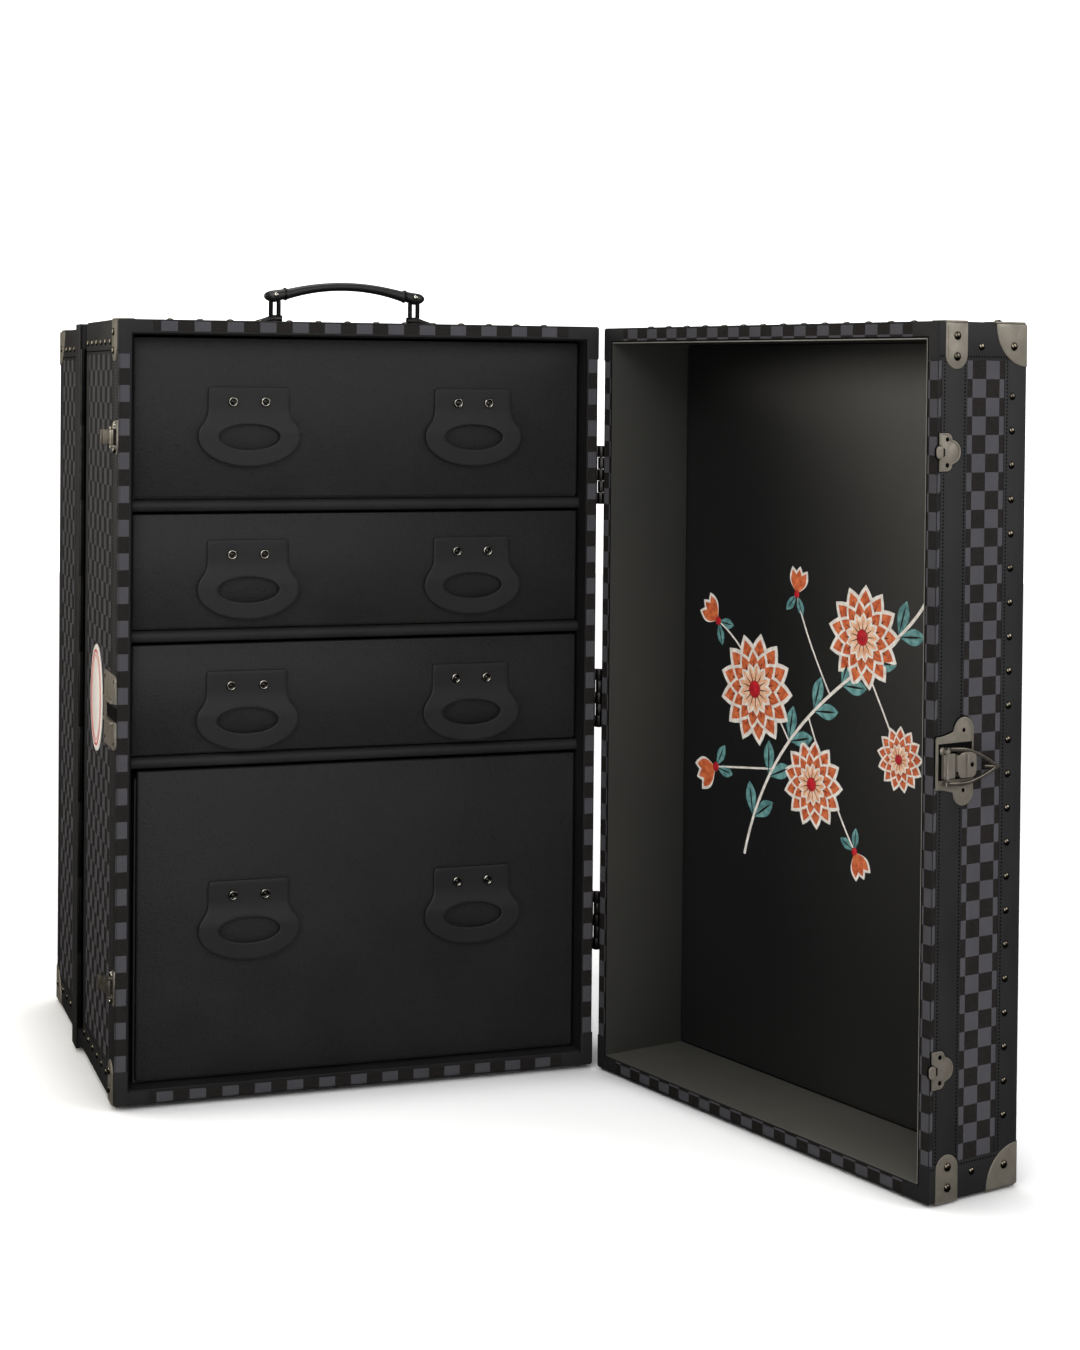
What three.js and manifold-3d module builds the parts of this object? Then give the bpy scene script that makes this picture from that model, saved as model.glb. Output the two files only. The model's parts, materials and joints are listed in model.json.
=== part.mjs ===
// Wardrobe trunk: a case with four drawers, a shallow front door and a deep rear door.
// Millimetres, +Z up. The case's front faces -Y and +X is to its right.
// The origin lies under the middle of the case, on the underside of its sole board.
// The front door stands open, as the trunk is shown. Everything else is shut.

import * as THREE from 'three';
import { mergeVertices } from 'three/addons/utils/BufferGeometryUtils.js';
import Module from 'manifold-3d';

const wasm = await Module();
wasm.setup();

// Clearances and cuts
const turnedGap = 0.3;
const runningGap = 0.3;
const cutOverrun = 1;
const roundSteps = 12;
const smallRoundSteps = 8;

// Case
const caseWidth = 620;
const caseHeight = 960;
const caseDepth = 266;
const caseWall = 17;
const caseBackWall = 12;
const soleHeight = 4;
const soleInset = 24;

// Front door
const doorDepth = 132;
const doorWall = 17;
const doorBackWall = 7;
const doorDrop = 2;
const doorSeam = 0.6;
const doorOpenAngle = 105;

// Lining panel at the back of the front door
const liningThickness = 2.4;
const liningMargin = 3;
const liningCorner = 10;

// Rear door with its raised collar
const rearSeam = 3.5;
const rearDepth = 278;
const rearNarrowing = 4;
const rearLowering = 6;
const rearWall = 15;
const rearBackWall = 9;
const collarDepth = 40;
const collarSideRise = 9;
const collarTopRise = 6;

// Clothes rail in the rear door
const railRadius = 9;
const railFlangeRadius = 20;
const railFlangeThickness = 5;
const railBelowTop = 70;
const railFromRim = 130;

// Drawers, from the top down. The lowest one takes the height that the others leave.
// It is narrower than its slot, and the play is on its left side.
const upperDrawerHeights = [197, 140, 134];
const lowestDrawerRise = 4.5;
const lowestDrawerPlay = 8;
const drawerRecess = 20;
const drawerSideGap = 3;
const drawerRise = 3.5;
const dividerThickness = 15;
const frontThickness = 12;
const trayWall = 8;
const trayFloor = 6;
const traySideGap = 1.5;
const trayLift = 0.5;
const trayBelowFront = 10;
const trayRearGap = 5;

// Leather pulls on the drawers
const pullFromSide = 144;
const pullWidth = 129;
const pullTopWidth = 103;
const pullHeight = 99;
const pullThickness = 3.5;
const pullBow = 5;
const pullBelowCentre = [11.5, 11.5, 16, -2];
const pullCorner = 5;
const pullHoleWidth = 77;
const pullHoleHeight = 32;
const pullHoleBelowTop = 62;
const pullFlatHeight = 26;
const pullBendHeight = 30;

// Butt hinges of the front door
const hingeOutset = 5.5;
const hingeLength = 76;
const hingeKnuckles = 5;
const hingeSpacing = 291;
const hingeBarrelRadius = 4.2;
const hingePinRadius = 1.9;
const hingeLeafWidth = 28;
const hingeLeafThickness = 2;
const knuckleGap = 0.4;

// Continuous hinge of the rear door
const rearHingeOutset = 4.5;
const rearHingeLength = 900;
const rearHingeKnuckles = 9;
const rearHingeLeafWidth = 20;
const rearHingeLeafThickness = 1.5;
const collarGrooveClearance = 0.5;

// Carrying handle on top
const handleSetback = 20;
const handleSpan = 186;
const handlePivotHeight = 6.5;
const loopWidth = 16;
const loopBar = 3.4;
const loopHeight = 32;
const gripRise = 45;
const gripEndRise = 32;
const gripInset = 6;
const gripThickness = 9;
const gripWidth = 20;
const noseLength = 26;
const noseHeight = 15;
const noseWidth = 17;
const nosePinRadius = 1.8;
const handlePlateLength = 66;
const handlePlateWidth = 26;
const handlePlateThickness = 3;
const handleLugWidth = 7;
const handleLugRadius = 5;
const gripSteps = 12;

// Draw latches on the left side
const latchFromEnd = 143;
const latchSetback = 10;
const latchPivotHeight = 6.5;
const latchPlateThickness = 2;
const latchPlateSetback = 2;
const latchEarGap = 20;
const latchEarThickness = 3;
const latchEarRadius = 3.4;
const latchPinRadius = 1.6;
const leverWidth = 18;
const leverLength = 36;
const leverThickness = 2;
const leverKnuckleRadius = 3.2;
const leverCurl = 4;
const leverRestAngle = 10;

// Lobed plates that carry the latches and their keepers
const lobePlateHeight = 42;
const lobePlateWidth = 32;
const lobeRadius = 7;
const lobeShoulder = 12;
const keeperHookRadius = 5;
const keeperHookHeight = 4.5;
const keeperHookSetback = 7;

// Central lock plate on the case
const lockWidth = 84;
const lockHeight = 92;
const lockThickness = 3;
const lockCorner = 8;
const lockSlotHeight = 22;
const lockSlotLength = 70;
const lockRibHeight = 4;
const lockRibWidth = 4;
const lockSetback = 2;

// Central clasp on the front door
const claspWidth = 56;
const claspHeight = 96;
const claspThickness = 2.5;
const claspLobeRadius = 15;
const claspRimHeight = 56;
const claspSetback = 1;
const claspEarHeight = 8;
const claspPivotSetback = 12;
const claspPivotHeight = 7.5;
const claspHookWidth = 20;
const claspHookHeight = 18;
const claspHookRise = 9;
const claspHookSetback = 26;
const bailWire = 3.5;
const bailEyeRadius = 3.4;
const bailHeight = 40;
const bailStraight = 20;
const bailLength = 80;

// Metal straps and corner caps
const clampWidth = 34;
const clampLength = 52;
const clampReturn = 20;
const clampThickness = 1.5;
const clampSetback = 8;
const capRadius = 46;
const capThickness = 1.2;

// Hasp and staple that hold the rear door, on the right side
const haspWidth = 24;
const haspLength = 62;
const haspThickness = 2.5;
const haspPivotHeight = 5;
const haspSetback = 12;
const haspKnuckleRadius = 3.2;
const haspPinRadius = 1.6;
const haspSlotLength = 16;
const haspSlotWidth = 8;
const haspSlotFromEnd = 8;
const haspRestAngle = 150;
const haspBaseThickness = 1.5;
const stapleThickness = 4;
const stapleWidth = 10;
const stapleRise = 18;
const staplePlateSize = 26;
const staplePlateThickness = 2;
const stapleEyeRadius = 2.5;
const stapleEyeFromTop = 4;

// Oval plaque on the left side
const plaqueHeight = 137;
const plaqueWidth = 96;
const plaqueThickness = 2;
const plaqueSetback = 160;

// Faces and edges that follow from the sizes
const caseLeft = -caseWidth / 2;
const caseRight = caseWidth / 2;
const caseFront = -caseDepth / 2;
const caseRear = caseDepth / 2;
const caseBottom = soleHeight;
const caseTop = soleHeight + caseHeight;
const caseMiddle = (caseBottom + caseTop) / 2;
const innerRight = caseRight - caseWall;
const innerBottom = caseBottom + caseWall;
const innerTop = caseTop - caseWall;
const innerRear = caseRear - caseBackWall;
const drawerFace = caseFront + drawerRecess;
const doorBottom = caseBottom - doorDrop;
const doorTop = caseTop - doorDrop;
const doorMiddle = (doorBottom + doorTop) / 2;
const doorRim = caseFront - doorSeam;
const doorBack = doorRim - doorDepth;
const rearRim = caseRear + rearSeam;
const rearBack = rearRim + rearDepth;
const rearSide = caseRight - rearNarrowing;
const rearTop = caseTop - rearLowering;
const collarSide = caseRight + collarSideRise;
const collarTop = rearTop + collarTopRise;
const hingeX = caseRight + hingeOutset;
const hingeY = caseFront - doorSeam / 2;
const rearHingeX = caseLeft - rearHingeOutset;
const rearHingeY = caseRear + rearSeam / 2;

const axisX = new THREE.Vector3(1, 0, 0);
const axisY = new THREE.Vector3(0, 1, 0);
const axisZ = new THREE.Vector3(0, 0, 1);

const finishes = {
  leather: { color: 0x2d2e30, roughness: 0.55, metalness: 0 },
  drawerLeather: { color: 0x252626, roughness: 0.6, metalness: 0 },
  lining: { color: 0x33332f, roughness: 0.85, metalness: 0 },
  panel: { color: 0x1a1a1b, roughness: 0.35, metalness: 0 },
  board: { color: 0x4a3a2a, roughness: 0.8, metalness: 0 },
  pewter: { color: 0x918a80, roughness: 0.4, metalness: 0.9 },
  darkMetal: { color: 0x3a3a3c, roughness: 0.35, metalness: 0.9 },
  enamel: { color: 0xe9e6df, roughness: 0.3, metalness: 0 },
};

// Makes one named piece with a material of its own.
function piece(name, geometry, finish) {
  const mesh = new THREE.Mesh(geometry, new THREE.MeshStandardMaterial(finishes[finish]));
  mesh.name = name;
  return mesh;
}

// A box from its lowest and highest places on each axis.
function block([x0, x1], [y0, y1], [z0, z1]) {
  const geometry = new THREE.BoxGeometry(x1 - x0, y1 - y0, z1 - z0);
  return geometry.translate((x0 + x1) / 2, (y0 + y1) / 2, (z0 + z1) / 2);
}

// A round bar along Z from its centre line and its two ends.
function barZ(radius, x, y, [z0, z1], steps = smallRoundSteps) {
  const geometry = new THREE.CylinderGeometry(radius, radius, z1 - z0, steps);
  return geometry.rotateX(Math.PI / 2).translate(x, y, (z0 + z1) / 2);
}

// A round bar along X from its centre line and its two ends.
function barX(radius, [x0, x1], y, z, steps = smallRoundSteps) {
  const geometry = new THREE.CylinderGeometry(radius, radius, x1 - x0, steps);
  return geometry.rotateZ(Math.PI / 2).translate((x0 + x1) / 2, y, z);
}

// A round bar along Y from its centre line and its two ends.
function barY(radius, x, [y0, y1], z, steps = smallRoundSteps) {
  const geometry = new THREE.CylinderGeometry(radius, radius, y1 - y0, steps);
  return geometry.translate(x, (y0 + y1) / 2, z);
}

function extrude(shape, depth, steps = roundSteps) {
  return new THREE.ExtrudeGeometry(shape, { depth, bevelEnabled: false, curveSegments: steps });
}

// Turns an outline's own axes into three directions of the trunk and moves it into place.
function placeOutline(geometry, across, up, out, [x, y, z]) {
  geometry.applyMatrix4(new THREE.Matrix4().makeBasis(across, up, out));
  return geometry.translate(x, y, z);
}

// On the left side an outline's x runs to the front and its depth runs outward.
function onLeft(geometry, place) {
  return placeOutline(geometry, axisY.clone().negate(), axisZ, axisX.clone().negate(), place);
}

// On a front an outline's x runs to the right and its depth runs to the viewer.
function onFront(geometry, place) {
  return placeOutline(geometry, axisX, axisZ, axisY.clone().negate(), place);
}

// Mirrors a solid and keeps its faces pointing out.
function mirrored(geometry, flipX, flipY, flipZ) {
  const result = geometry.index ? geometry.toNonIndexed() : geometry.clone();
  result.scale(flipX ? -1 : 1, flipY ? -1 : 1, flipZ ? -1 : 1);
  const flips = [flipX, flipY, flipZ].filter(Boolean).length;
  if (flips % 2 === 0) return result;
  const position = result.getAttribute('position');
  const first = new THREE.Vector3();
  const last = new THREE.Vector3();
  for (let i = 0; i < position.count; i += 3) {
    first.fromBufferAttribute(position, i);
    last.fromBufferAttribute(position, i + 2);
    position.setXYZ(i, last.x, last.y, last.z);
    position.setXYZ(i + 2, first.x, first.y, first.z);
  }
  return result;
}

function toSolid(geometry) {
  const bare = geometry.clone();
  bare.deleteAttribute('normal');
  bare.deleteAttribute('uv');
  const merged = mergeVertices(bare);
  const vertProperties = new Float32Array(merged.getAttribute('position').array);
  const triVerts = new Uint32Array(merged.index.array);
  return new wasm.Manifold(new wasm.Mesh({ numProp: 3, vertProperties, triVerts }));
}

function fromSolid(solid) {
  const { vertProperties, triVerts } = solid.getMesh();
  const geometry = new THREE.BufferGeometry();
  geometry.setAttribute('position', new THREE.BufferAttribute(new Float32Array(vertProperties), 3));
  geometry.setIndex(new THREE.BufferAttribute(new Uint32Array(triVerts), 1));
  return geometry;
}

// Joins the first list of shapes and cuts the second list from them.
function joined(parts, cuts = []) {
  let solid = toSolid(parts[0]);
  for (const part of parts.slice(1)) solid = solid.add(toSolid(part));
  for (const cut of cuts) solid = solid.subtract(toSolid(cut));
  return fromSolid(solid);
}

function roundedRectangle(width, height, corner) {
  const x = width / 2;
  const y = height / 2;
  const shape = new THREE.Shape();
  shape.moveTo(-x + corner, -y);
  shape.lineTo(x - corner, -y);
  shape.absarc(x - corner, -y + corner, corner, -Math.PI / 2, 0);
  shape.absarc(x - corner, y - corner, corner, 0, Math.PI / 2);
  shape.absarc(-x + corner, y - corner, corner, Math.PI / 2, Math.PI);
  shape.absarc(-x + corner, -y + corner, corner, Math.PI, Math.PI * 1.5);
  return shape;
}

// Case shell: five boards, open to the front.
function caseShell() {
  const body = block([caseLeft, caseRight], [caseFront, caseRear], [caseBottom, caseTop]);
  const hollow = block(
    [-innerRight, innerRight], [caseFront - cutOverrun, innerRear], [innerBottom, innerTop]);
  return joined([body], [hollow]);
}

function soleBoard() {
  return block(
    [caseLeft + soleInset, caseRight - soleInset],
    [caseFront + soleInset, caseRear - soleInset],
    [0, soleHeight]);
}

// The heights of each drawer and of the divider under it, worked down from the top.
function drawerPlaces() {
  const places = [];
  let top = innerTop;
  for (const height of upperDrawerHeights) {
    const frontTop = top - drawerRise + trayLift;
    const frontBottom = frontTop - height;
    const slotBottom = frontBottom - drawerRise;
    places.push({ frontTop, frontBottom, slotBottom, play: 0 });
    top = slotBottom - dividerThickness;
  }
  places.push({
    frontTop: top - drawerRise + trayLift,
    frontBottom: innerBottom + lowestDrawerRise,
    slotBottom: innerBottom,
    play: lowestDrawerPlay,
  });
  return places;
}

// Divider board between two drawers, with a half-round nose.
function divider(top) {
  const radius = dividerThickness / 2;
  const profile = new THREE.Shape();
  profile.moveTo(innerRear, top);
  profile.lineTo(drawerFace + radius, top);
  profile.absarc(drawerFace + radius, top - radius, radius, Math.PI / 2, Math.PI * 1.5);
  profile.lineTo(innerRear, top - dividerThickness);
  return placeOutline(
    extrude(profile, 2 * innerRight, smallRoundSteps), axisY, axisZ, axisX, [-innerRight, 0, 0]);
}

function drawerFront({ frontTop, frontBottom, play }) {
  const half = innerRight - drawerSideGap;
  return block([play - half, half], [drawerFace, drawerFace + frontThickness], [frontBottom, frontTop]);
}

// Drawer box: floor and four walls, open at the top, glued behind the front.
function drawerTray({ frontTop, slotBottom, play }) {
  const half = innerRight - traySideGap;
  const front = drawerFace + frontThickness;
  const rear = innerRear - trayRearGap;
  const bottom = slotBottom + trayLift;
  const top = frontTop - trayBelowFront;
  const body = block([play - half, half], [front, rear], [bottom, top]);
  const hollow = block(
    [play - half + trayWall, half - trayWall],
    [front + trayWall, rear - trayWall],
    [bottom + trayFloor, top + cutOverrun]);
  return joined([body], [hollow]);
}

// Outline of a leather pull: a straight tab that flares into a round lip.
function pullOutline() {
  const half = pullWidth / 2;
  const topHalf = pullTopWidth / 2;
  const waist = -pullFlatHeight;
  const widest = -pullHoleBelowTop;
  const flare = (waist + widest) / 2;
  const outline = new THREE.Shape();
  outline.moveTo(-topHalf + pullCorner, 0);
  outline.quadraticCurveTo(-topHalf, 0, -topHalf, -pullCorner);
  outline.lineTo(-topHalf, waist);
  outline.bezierCurveTo(-topHalf, flare, -half, flare, -half, widest);
  outline.bezierCurveTo(-half, -pullHeight, -half / 2, -pullHeight, 0, -pullHeight);
  outline.bezierCurveTo(half / 2, -pullHeight, half, -pullHeight, half, widest);
  outline.bezierCurveTo(half, flare, topHalf, flare, topHalf, waist);
  outline.lineTo(topHalf, -pullCorner);
  outline.quadraticCurveTo(topHalf, 0, topHalf - pullCorner, 0);
  const hole = new THREE.Path();
  hole.absellipse(0, widest, pullHoleWidth / 2, pullHoleHeight / 2, 0, Math.PI * 2, true);
  outline.holes.push(hole);
  return outline;
}

// How far a pull stands off the drawer at a height below its top edge.
function pullStandOff(below) {
  const share = THREE.MathUtils.smoothstep(below, pullFlatHeight, pullFlatHeight + pullBendHeight);
  return share * pullBow;
}

// A pull lies flat where it is riveted and bows out around its finger hole.
function pull(x, top) {
  const geometry = extrude(pullOutline(), pullThickness, smallRoundSteps);
  const position = geometry.getAttribute('position');
  for (let i = 0; i < position.count; i += 1) {
    position.setZ(i, position.getZ(i) + pullStandOff(-position.getY(i)));
  }
  return onFront(geometry, [x, drawerFace, top]);
}

function drawer(number, place) {
  const group = new THREE.Group();
  const centre = (place.frontTop + place.frontBottom) / 2;
  const pullTop = centre - pullBelowCentre[number - 1] + pullHeight / 2;
  const pullX = innerRight - drawerSideGap - pullFromSide;
  const middle = place.play / 2;
  group.add(piece(`drawer_${number}_front`, drawerFront(place), 'drawerLeather'));
  group.add(piece(`drawer_${number}_tray`, drawerTray(place), 'lining'));
  group.add(piece(`drawer_${number}_pull_left`, pull(middle - pullX, pullTop), 'leather'));
  group.add(piece(`drawer_${number}_pull_right`, pull(middle + pullX, pullTop), 'leather'));
  return group;
}

// The stretches along a hinge's axis that belong to one of its two leaves.
function knuckleStretches(length, count, first, middle) {
  const pitch = length / count;
  const stretches = [];
  for (let i = first; i < count; i += 2) {
    const low = middle - length / 2 + i * pitch;
    stretches.push([low + knuckleGap / 2, low + pitch - knuckleGap / 2]);
  }
  return stretches;
}

// One leaf of a hinge with its knuckles. The first leaf carries the pin, the other is bored for it.
function hingeLeaf({ length, count, first, middle, x, y, leaf, web }) {
  const parts = [block(leaf[0], leaf[1], [middle - length / 2, middle + length / 2])];
  for (const stretch of knuckleStretches(length, count, first, middle)) {
    parts.push(barZ(hingeBarrelRadius, x, y, stretch));
    parts.push(block(web[0], web[1], stretch));
  }
  const whole = [middle - length / 2, middle + length / 2];
  if (first === 0) return joined([...parts, barZ(hingePinRadius, x, y, whole)]);
  const bore = [whole[0] - cutOverrun, whole[1] + cutOverrun];
  return joined(parts, [barZ(hingePinRadius + runningGap, x, y, bore)]);
}

// Leaves of a front door hinge lie on the outer side faces. Side 1 is the case, -1 is the door.
function frontHingeLeaf(middle, side) {
  const seat = caseRight + turnedGap;
  const plate = [seat, seat + hingeLeafThickness];
  const along = (near, far) => [hingeY + side * near, hingeY + side * far].sort((a, b) => a - b);
  return hingeLeaf({
    length: hingeLength,
    count: hingeKnuckles,
    first: side > 0 ? 0 : 1,
    middle,
    x: hingeX,
    y: hingeY,
    leaf: [plate, along(hingeBarrelRadius + turnedGap, hingeLeafWidth)],
    web: [[seat, hingeX], along(hingeBarrelRadius - hingeLeafThickness, hingeBarrelRadius + knuckleGap)],
  });
}

// Leaves of the rear hinge lie in the seam. Side 1 is the case, -1 is the door.
function rearHingeLeaf(side) {
  const plate = side > 0
    ? [caseRear, caseRear + rearHingeLeafThickness]
    : [rearRim - rearHingeLeafThickness, rearRim];
  const inner = caseLeft + rearHingeLeafWidth;
  const gap = side > 0 ? 0 : turnedGap;
  const seat = side > 0 ? plate : [plate[0] - gap, plate[1] - gap];
  return hingeLeaf({
    length: rearHingeLength,
    count: rearHingeKnuckles,
    first: side > 0 ? 0 : 1,
    middle: caseMiddle - rearLowering / 2,
    x: rearHingeX,
    y: rearHingeY,
    leaf: [[caseLeft + turnedGap, inner], seat],
    web: [[rearHingeX, caseLeft + turnedGap + knuckleGap], seat],
  });
}

// Front door shell: back and four walls, drawn shut and open to the rear.
function frontDoorShell() {
  const body = block([caseLeft, caseRight], [doorBack, doorRim], [doorBottom, doorTop]);
  const half = caseRight - doorWall;
  const hollow = block(
    [-half, half],
    [doorBack + doorBackWall, doorRim + cutOverrun],
    [doorBottom + doorWall, doorTop - doorWall]);
  return joined([body], [hollow]);
}

function frontDoorLining() {
  const width = caseWidth - 2 * doorWall - 2 * liningMargin;
  const height = doorTop - doorBottom - 2 * doorWall - 2 * liningMargin;
  const outline = roundedRectangle(width, height, liningCorner);
  const panel = extrude(outline, liningThickness, smallRoundSteps);
  const back = doorBack + doorBackWall + turnedGap + liningThickness;
  return onFront(panel, [0, back, doorMiddle]);
}

// Metal strap with a round end that folds over the top or the bottom edge of a left side.
function edgeClamp(face, front, edge, isTop) {
  const radius = clampWidth / 2;
  const outline = new THREE.Shape();
  outline.moveTo(0, clampThickness);
  outline.lineTo(0, -clampLength + radius);
  outline.absarc(radius, -clampLength + radius, radius, Math.PI, Math.PI * 2);
  outline.lineTo(clampWidth, clampThickness);
  const side = onLeft(extrude(outline, clampThickness), [face, -front, 0]);
  const fold = block(
    [face - clampThickness, face + clampReturn], [-front - clampWidth, -front], [0, clampThickness]);
  const clamp = joined([side, fold]);
  return (isTop ? clamp : mirrored(clamp, false, false, true)).translate(0, 0, edge);
}

function caseClamp(isTop) {
  const rearEdge = caseFront + clampSetback + clampWidth;
  return edgeClamp(caseLeft, -rearEdge, isTop ? caseTop : caseBottom, isTop);
}

function doorClamp(isTop) {
  const edge = isTop ? doorTop + turnedGap : doorBottom - turnedGap;
  return edgeClamp(caseLeft - turnedGap, -(doorRim - clampSetback), edge, isTop);
}

// Quarter disc in the corner of two axes, used on each face of a corner cap.
function quarterDisc(thickness) {
  const outline = new THREE.Shape();
  outline.moveTo(0, 0);
  outline.lineTo(capRadius, 0);
  outline.absarc(0, 0, capRadius, 0, Math.PI / 2);
  return extrude(outline, thickness, smallRoundSteps);
}

// Corner cap around a corner at the origin, whose body fills +X, +Y and +Z.
function cornerCap() {
  const rim = [-capThickness, 0];
  const reach = [-capThickness, capRadius];
  const onX = placeOutline(quarterDisc(capThickness), axisY, axisZ, axisX, [-capThickness, 0, 0]);
  const onY = placeOutline(quarterDisc(capThickness), axisZ, axisX, axisY, [0, -capThickness, 0]);
  const onZ = placeOutline(quarterDisc(capThickness), axisX, axisY, axisZ, [0, 0, -capThickness]);
  return joined([onX, onY, onZ, block(reach, rim, rim), block(rim, reach, rim), block(rim, rim, reach)]);
}

// A cap on one corner of the front door's outer face, kept a hair off the shell.
function doorCorner(isLeft, isTop) {
  const cap = mirrored(cornerCap(), !isLeft, false, isTop);
  const x = isLeft ? caseLeft - turnedGap : caseRight + turnedGap;
  const z = isTop ? doorTop + turnedGap : doorBottom - turnedGap;
  return cap.translate(x, doorBack - turnedGap, z);
}

// Outline of a two-lobed plate. Its straight edge is at 0 and its bulge points along +x.
function lobePlateOutline() {
  const tip = lobePlateHeight / 2;
  const shape = new THREE.Shape();
  shape.moveTo(0, -tip);
  shape.lineTo(lobeShoulder, -tip);
  shape.absarc(lobeShoulder, -tip + lobeRadius, lobeRadius, -Math.PI / 2, 0);
  shape.quadraticCurveTo(lobePlateWidth, -tip / 2, lobePlateWidth, 0);
  shape.quadraticCurveTo(lobePlateWidth, tip / 2, lobeShoulder + lobeRadius, tip - lobeRadius);
  shape.absarc(lobeShoulder, tip - lobeRadius, lobeRadius, 0, Math.PI / 2);
  shape.lineTo(0, tip);
  return shape;
}

// Base of a draw latch: lobed plate, two ears and the pin between them. Its bulge points to the rear.
function latchBase(z) {
  const lobes = extrude(lobePlateOutline(), latchPlateThickness, smallRoundSteps);
  const plate = mirrored(lobes, true, false, false);
  onLeft(plate, [caseLeft, caseFront + latchPlateSetback, z]);
  const x = caseLeft - latchPivotHeight;
  const y = caseFront + latchSetback;
  const parts = [plate];
  for (const side of [-1, 1]) {
    const near = side * latchEarGap / 2;
    const far = near + side * latchEarThickness;
    const stretch = [z + Math.min(near, far), z + Math.max(near, far)];
    parts.push(barZ(latchEarRadius, x, y, stretch));
    parts.push(block([x, caseLeft], [y - latchEarRadius, y + latchEarRadius], stretch));
  }
  const pinHalf = latchEarGap / 2 + latchEarThickness / 2;
  parts.push(barZ(latchPinRadius, x, y, [z - pinHalf, z + pinHalf]));
  return joined(parts);
}

// Lever of a draw latch around its own pivot, drawn lying back along +Y.
function latchLever() {
  const stretch = [-leverWidth / 2, leverWidth / 2];
  const plate = [-leverThickness / 2, leverThickness / 2];
  const arm = block(plate, [0, leverLength], stretch);
  const curl = block(
    [-leverThickness / 2 - leverCurl / 2, leverThickness / 2],
    [leverLength - leverThickness, leverLength], stretch);
  const bore = [stretch[0] - cutOverrun, stretch[1] + cutOverrun];
  return joined(
    [barZ(leverKnuckleRadius, 0, 0, stretch), arm, curl],
    [barZ(latchPinRadius + runningGap, 0, 0, bore)]);
}

function latchPivot(name, z) {
  const pivot = new THREE.Group();
  pivot.position.set(caseLeft - latchPivotHeight, caseFront + latchSetback, z);
  pivot.rotation.z = THREE.MathUtils.degToRad(leverRestAngle);
  pivot.add(piece(name, latchLever(), 'pewter'));
  return pivot;
}

// Keeper that a latch hooks on: a lobed plate with a low round hook.
function doorKeeper(z) {
  const face = caseLeft - turnedGap;
  const plate = onLeft(
    extrude(lobePlateOutline(), latchPlateThickness, smallRoundSteps), [face, doorRim - claspSetback, z]);
  const hook = barX(
    keeperHookRadius, [face - keeperHookHeight, face], doorRim - claspSetback - keeperHookSetback, z);
  return joined([plate, hook]);
}

// Lock plate on the case: a C-shaped plate with ribs along its slot.
function caseLock() {
  const plate = onLeft(
    extrude(roundedRectangle(lockWidth, lockHeight, lockCorner), lockThickness, smallRoundSteps),
    [caseLeft, caseFront + lockSetback + lockWidth / 2, caseMiddle]);
  const front = caseFront + lockSetback;
  const half = lockSlotHeight / 2;
  const slot = block(
    [caseLeft - lockThickness - cutOverrun, caseLeft + cutOverrun],
    [front - cutOverrun, front + lockSlotLength],
    [caseMiddle - half, caseMiddle + half]);
  const parts = [plate];
  for (const side of [-1, 1]) {
    const near = caseMiddle + side * half;
    const far = near + side * lockRibWidth;
    parts.push(block(
      [caseLeft - lockThickness - lockRibHeight, caseLeft],
      [front + lockCorner, front + lockSlotLength],
      [Math.min(near, far), Math.max(near, far)]));
  }
  return joined(parts, [slot]);
}

// Outline of the clasp plate: a straight rim edge between two round lobes.
function claspOutline() {
  const rim = claspRimHeight / 2;
  const tip = claspHeight / 2 - claspLobeRadius;
  const lobeX = claspWidth - claspLobeRadius;
  const shape = new THREE.Shape();
  shape.moveTo(0, -rim);
  shape.quadraticCurveTo(claspPivotSetback, -rim, lobeX - claspLobeRadius, -tip);
  shape.absarc(lobeX, -tip, claspLobeRadius, Math.PI, Math.PI * 2);
  shape.lineTo(claspWidth, tip);
  shape.absarc(lobeX, tip, claspLobeRadius, 0, Math.PI);
  shape.quadraticCurveTo(claspPivotSetback, rim, 0, rim);
  return shape;
}

// Clasp on the front door: plate, hook block, and two ears with the pin of the bail.
function doorClasp() {
  const face = caseLeft - turnedGap;
  const rim = doorRim - claspSetback;
  const plate = onLeft(extrude(claspOutline(), claspThickness, smallRoundSteps), [face, rim, doorMiddle]);
  const hook = block(
    [face - claspHookRise, face],
    [rim - claspHookSetback - claspHookWidth, rim - claspHookSetback],
    [doorMiddle - claspHookHeight / 2, doorMiddle + claspHookHeight / 2]);
  const x = face - claspPivotHeight;
  const y = rim - claspPivotSetback;
  const parts = [plate, hook];
  const earNear = bailHeight / 2 - bailWire - runningGap;
  const earFar = earNear - claspEarHeight / 2;
  for (const side of [-1, 1]) {
    const ends = [doorMiddle + side * earNear, doorMiddle + side * earFar].sort((a, b) => a - b);
    parts.push(barZ(bailWire, x, y, ends));
    parts.push(block([x, face], [y - bailWire, y + bailWire], ends));
  }
  const pinReach = bailHeight / 2 - bailWire / 2;
  const pin = barZ(latchPinRadius, x, y, [doorMiddle - pinReach, doorMiddle + pinReach]);
  return joined([...parts, pin]);
}

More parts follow.
